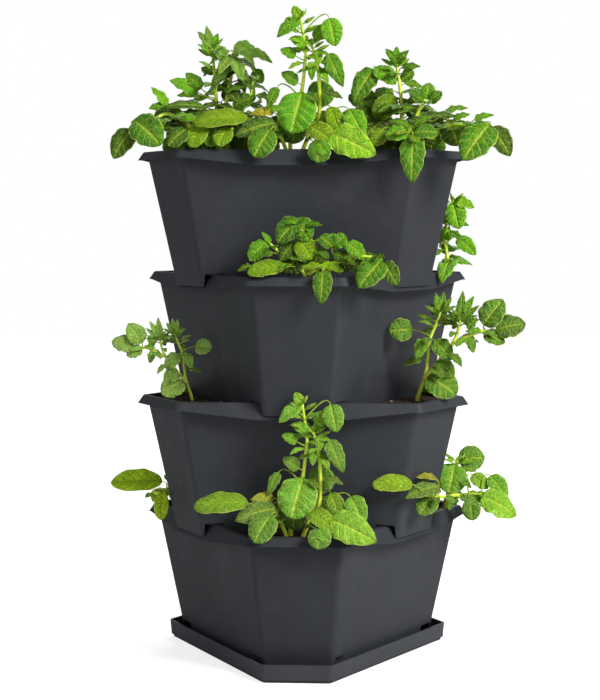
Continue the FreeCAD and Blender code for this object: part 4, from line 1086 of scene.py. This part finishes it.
def lump(points, faces, at, size, dice):
    """One crumb: a faceted, squashed lump of twelve corners."""
    first = len(points)
    stretch = [dice.uniform(0.6, 1.25) * size * 0.5 for _ in range(3)]
    turn = dice.uniform(0, 6.28)
    for corner in LUMP_CORNERS:
        x, y = corner.x * stretch[0], corner.y * stretch[1]
        rough = dice.uniform(0.82, 1.12)
        points.append(V(at.x + (x * math.cos(turn) - y * math.sin(turn)) * rough,
                        at.y + (x * math.sin(turn) + y * math.cos(turn)) * rough,
                        at.z + corner.z * stretch[2] * 0.7 * rough))
    faces += [tuple(first + k for k in face) for face in LUMP_FACES]


def soil_piece(name, points, faces, body, made):
    """A piece of loose mix on a tier, smooth where its faces have four corners."""
    mesh = bpy.data.meshes.new(name)
    mesh.from_pydata([p * MM for p in points], [], faces)
    mesh.validate()
    mesh.polygons.foreach_set("use_smooth", [len(p.vertices) == 4 for p in mesh.polygons])
    mesh.materials.append(made)
    piece = add_object(name, mesh)
    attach(piece, body)


def top_soil(level, height, dice):
    """The surface of the top fill, and the places of its crumbs."""
    short = side_distance(level, BASE_SHORT, RIM_SHORT) - WALL - MIX_GAP
    long = side_distance(level, BASE_LONG, RIM_LONG) - WALL - MIX_GAP

    def edge(turn):
        """How far the fill reaches from the axis in a direction."""
        return min((short, long)[k % 2] / max(math.cos(turn - side_turn(TIERS - 1, k)), 0.2)
                   for k in range(6))
    points = []
    for r in range(TOP_RINGS):
        share = (r + 0.02) / (TOP_RINGS - 1)
        for s in range(TOP_SECTORS):
            turn = 2 * math.pi * s / TOP_SECTORS
            far = edge(turn) * min(share, 1.0)
            x, y = far * math.cos(turn), far * math.sin(turn)
            rise = soil_height(x, y, TOP_SOIL_SEED) * min((1 - min(share, 1.0)) * 14, 1.0)
            points.append(V(x, y, height + rise))
    faces = grid_faces(0, TOP_RINGS, TOP_SECTORS, True)
    faces.append(tuple(reversed(range(TOP_SECTORS))))
    spots = []
    for _ in range(TOP_CRUMBS):
        turn, share = dice.uniform(0, 2 * math.pi), math.sqrt(dice.uniform(0, 0.94))
        far = edge(turn) * share
        spots.append((far * math.cos(turn), far * math.sin(turn)))
    return points, faces, spots


def pocket_soil(tier, level, height, dice):
    """The surfaces of the mix in a lower pot's three pockets, and the places of its crumbs."""
    near = side_distance(POT_HEIGHT - PITCH - SOIL_BELOW_RIM, BASE_LONG, RIM_LONG) + POCKET_GAP
    far = side_distance(level, BASE_SHORT, RIM_SHORT) - WALL - MIX_GAP
    flank = side_distance(level, BASE_LONG, RIM_LONG) - WALL - MIX_GAP

    def place(turn, along, share):
        """A place in a pocket: along from -1 to 1, share from 0 to 1 outward."""
        distance = near + (far - near) * share
        sideways = (flank - distance / 2) / math.cos(math.pi / 6) * along
        return (distance * math.cos(turn) - sideways * math.sin(turn),
                distance * math.sin(turn) + sideways * math.cos(turn))
    points, faces, spots = [], [], []
    for k in range(3):
        turn = side_turn(tier, 2 * k)
        faces += grid_faces(len(points), POCKET_ROWS, POCKET_COLUMNS, False)
        for r in range(POCKET_ROWS):
            share = r / (POCKET_ROWS - 1)
            for c in range(POCKET_COLUMNS):
                along = 2 * c / (POCKET_COLUMNS - 1) - 1
                x, y = place(turn, along, share)
                rim = min(1 - abs(along), share, 1 - share) * 9
                rise = soil_height(x, y, tier) * min(rim, 1.0)
                points.append(V(x, y, height + rise))
        for _ in range(POCKET_CRUMBS):
            spots.append(place(turn, dice.uniform(-0.94, 0.94), dice.uniform(0.05, 0.95)))
    return points, faces, spots


def dress_soil(tier, soil, grains, dice):
    """The lumpy top of one fill, its crumbs and its pale grains."""
    top = tier == TIERS - 1
    level = POT_HEIGHT - (TOP_SOIL_BELOW_RIM if top else SOIL_BELOW_RIM)
    height = POT_STANDS_AT + PITCH * tier + level
    if top:
        points, faces, spots = top_soil(level, height, dice)
    else:
        points, faces, spots = pocket_soil(tier, level, height, dice)
    body = "tier_%d" % (tier + 1)
    name = "potting_mix_%d" % (tier + 1)
    soil_piece(name + "_top", points, faces, body, soil)
    crumbs, crumb_faces, bits, bit_faces = [], [], [], []
    for k, (x, y) in enumerate(spots):
        size = dice.uniform(*CRUMB_SIZES)
        rise = soil_height(x, y, TOP_SOIL_SEED if top else tier) + size * 0.05
        at = V(x, y, height + rise)
        if k % GRAIN_EVERY == 0:
            lump(bits, bit_faces, at, size * GRAIN_SIZE, dice)
        else:
            lump(crumbs, crumb_faces, at, size, dice)
    soil_piece(name + "_crumbs", crumbs, crumb_faces, body, soil)
    soil_piece(name + "_grains", bits, bit_faces, body, grains)


def dress_planter():
    """Materials for the CAD pots, tray and mixes, and the detail on the mixes."""
    soil, grains = soil_material(), grain_material()
    skins = {"pot": plastic("pot_plastic", *POT_COLOURS),
             "tray": plastic("tray_plastic", *TRAY_COLOURS), "potting_mix": soil}
    for name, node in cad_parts.items():
        skin = skins.get(name.rstrip("_0123456789"))
        if skin:
            node.data.materials.clear()
            node.data.materials.append(skin)
    dice = random.Random(SEED)
    for tier in range(TIERS):
        dress_soil(tier, soil, grains, dice)


def grow_plants():
    """The stems and leaves of every plant."""
    skin, rind = leaf_material(), stem_material()
    lines, rows = grow_leaves()
    for number, spot in enumerate(PLANTS):
        dice = random.Random(SEED + 100 * number)
        name, body, kind = spot[:3]
        stem_mesh = Builder(spot)
        for points in KINDS[kind][0]:
            add_stem(stem_mesh, points, dice)
        stem_mesh.finish(name + "_stem_rods", rind, body, name + "_stems")
        leaf_mesh = Builder(spot)
        for row in rows[name]:
            add_leaf(leaf_mesh, lines[name], row, dice)
        leaf_mesh.finish(name + "_leaf_blades", skin, body, name + "_leaves")


def add_lamp(name, place, size, power, colour):
    """A soft square lamp at a place, turned to the tower."""
    data = bpy.data.lights.new(name, "AREA")
    data.shape = "SQUARE"
    data.size = size
    data.energy = power
    data.color = colour
    lamp = add_object(name, data)
    lamp.location = place
    lamp.rotation_euler = (Vector(LAMPS_AIM) - Vector(place)).to_track_quat("-Z", "Y").to_euler()


def seen_or_felt(tree, seen, felt):
    """One shader for what the camera sees and another for the light it gives."""
    ray = new_node(tree, "LightPath").outputs["Is Camera Ray"]
    return new_node(tree, "MixShader", {0: ray, 1: felt.outputs[0], 2: seen.outputs[0]}).outputs[0]


def set_world():
    """White where the camera sees it, and a soft, slightly cool light."""
    world = bpy.data.worlds.new("studio")
    bpy.context.scene.world = world
    world.use_nodes = True
    tree = world.node_tree
    tree.nodes.clear()
    seen = new_node(tree, "Background", {"Color": (1.0, 1.0, 1.0), "Strength": 1.0})
    felt = new_node(tree, "Background", {"Color": SKY_COLOUR, "Strength": SKY_STRENGTH})
    new_node(tree, "OutputWorld", {"Surface": seen_or_felt(tree, seen, felt)})


def lay_floor():
    """A pale floor that keeps the shadow and fades to the background's white far away."""
    mesh = bpy.data.meshes.new("floor")
    corners = [(x * FLOOR_REACH, y * FLOOR_REACH, 0) for x, y in ((-1, -1), (1, -1), (1, 1), (-1, 1))]
    mesh.from_pydata(corners, [], [(0, 1, 2, 3)])
    floor = add_object("floor", mesh)
    floor.location.z = FLOOR_AT
    made, tree, shader = material("floor_white")
    feed(tree, shader, mix_colour(tree, noise_of(tree, 3.0, 2.0, 0.5), *FLOOR_COLOURS), 0.9, 0.1)
    away = new_node(tree, "VectorMath", {0: object_metres(tree)}, operation="LENGTH")
    white = new_node(tree, "Emission",
                     {"Strength": spread(tree, away.outputs["Value"], *FLOOR_FADE)})
    both = new_node(tree, "AddShader", {0: shader.outputs[0], 1: white.outputs[0]})
    plug(tree, seen_or_felt(tree, both, shader), tree.nodes["Material Output"].inputs["Surface"])
    mesh.materials.append(made)


def place_camera():
    """The camera that took the photograph, level and shifted down."""
    data = bpy.data.cameras.new("camera")
    data.sensor_width = SENSOR
    data.lens = FOCAL_PIXELS / IMAGE_HEIGHT * SENSOR
    data.shift_y = -HORIZON_ABOVE_CENTRE / IMAGE_HEIGHT
    camera = add_object("camera", data)
    camera.location = CAMERA_AT
    camera.rotation_euler = (math.pi / 2, 0.0, CAMERA_TURN)
    bpy.context.scene.camera = camera


dress_planter()
grow_plants()
set_world()
lay_floor()
for lamp in LAMPS:
    add_lamp(*lamp)
place_camera()
bpy.context.scene.view_settings.view_transform = "Standard"
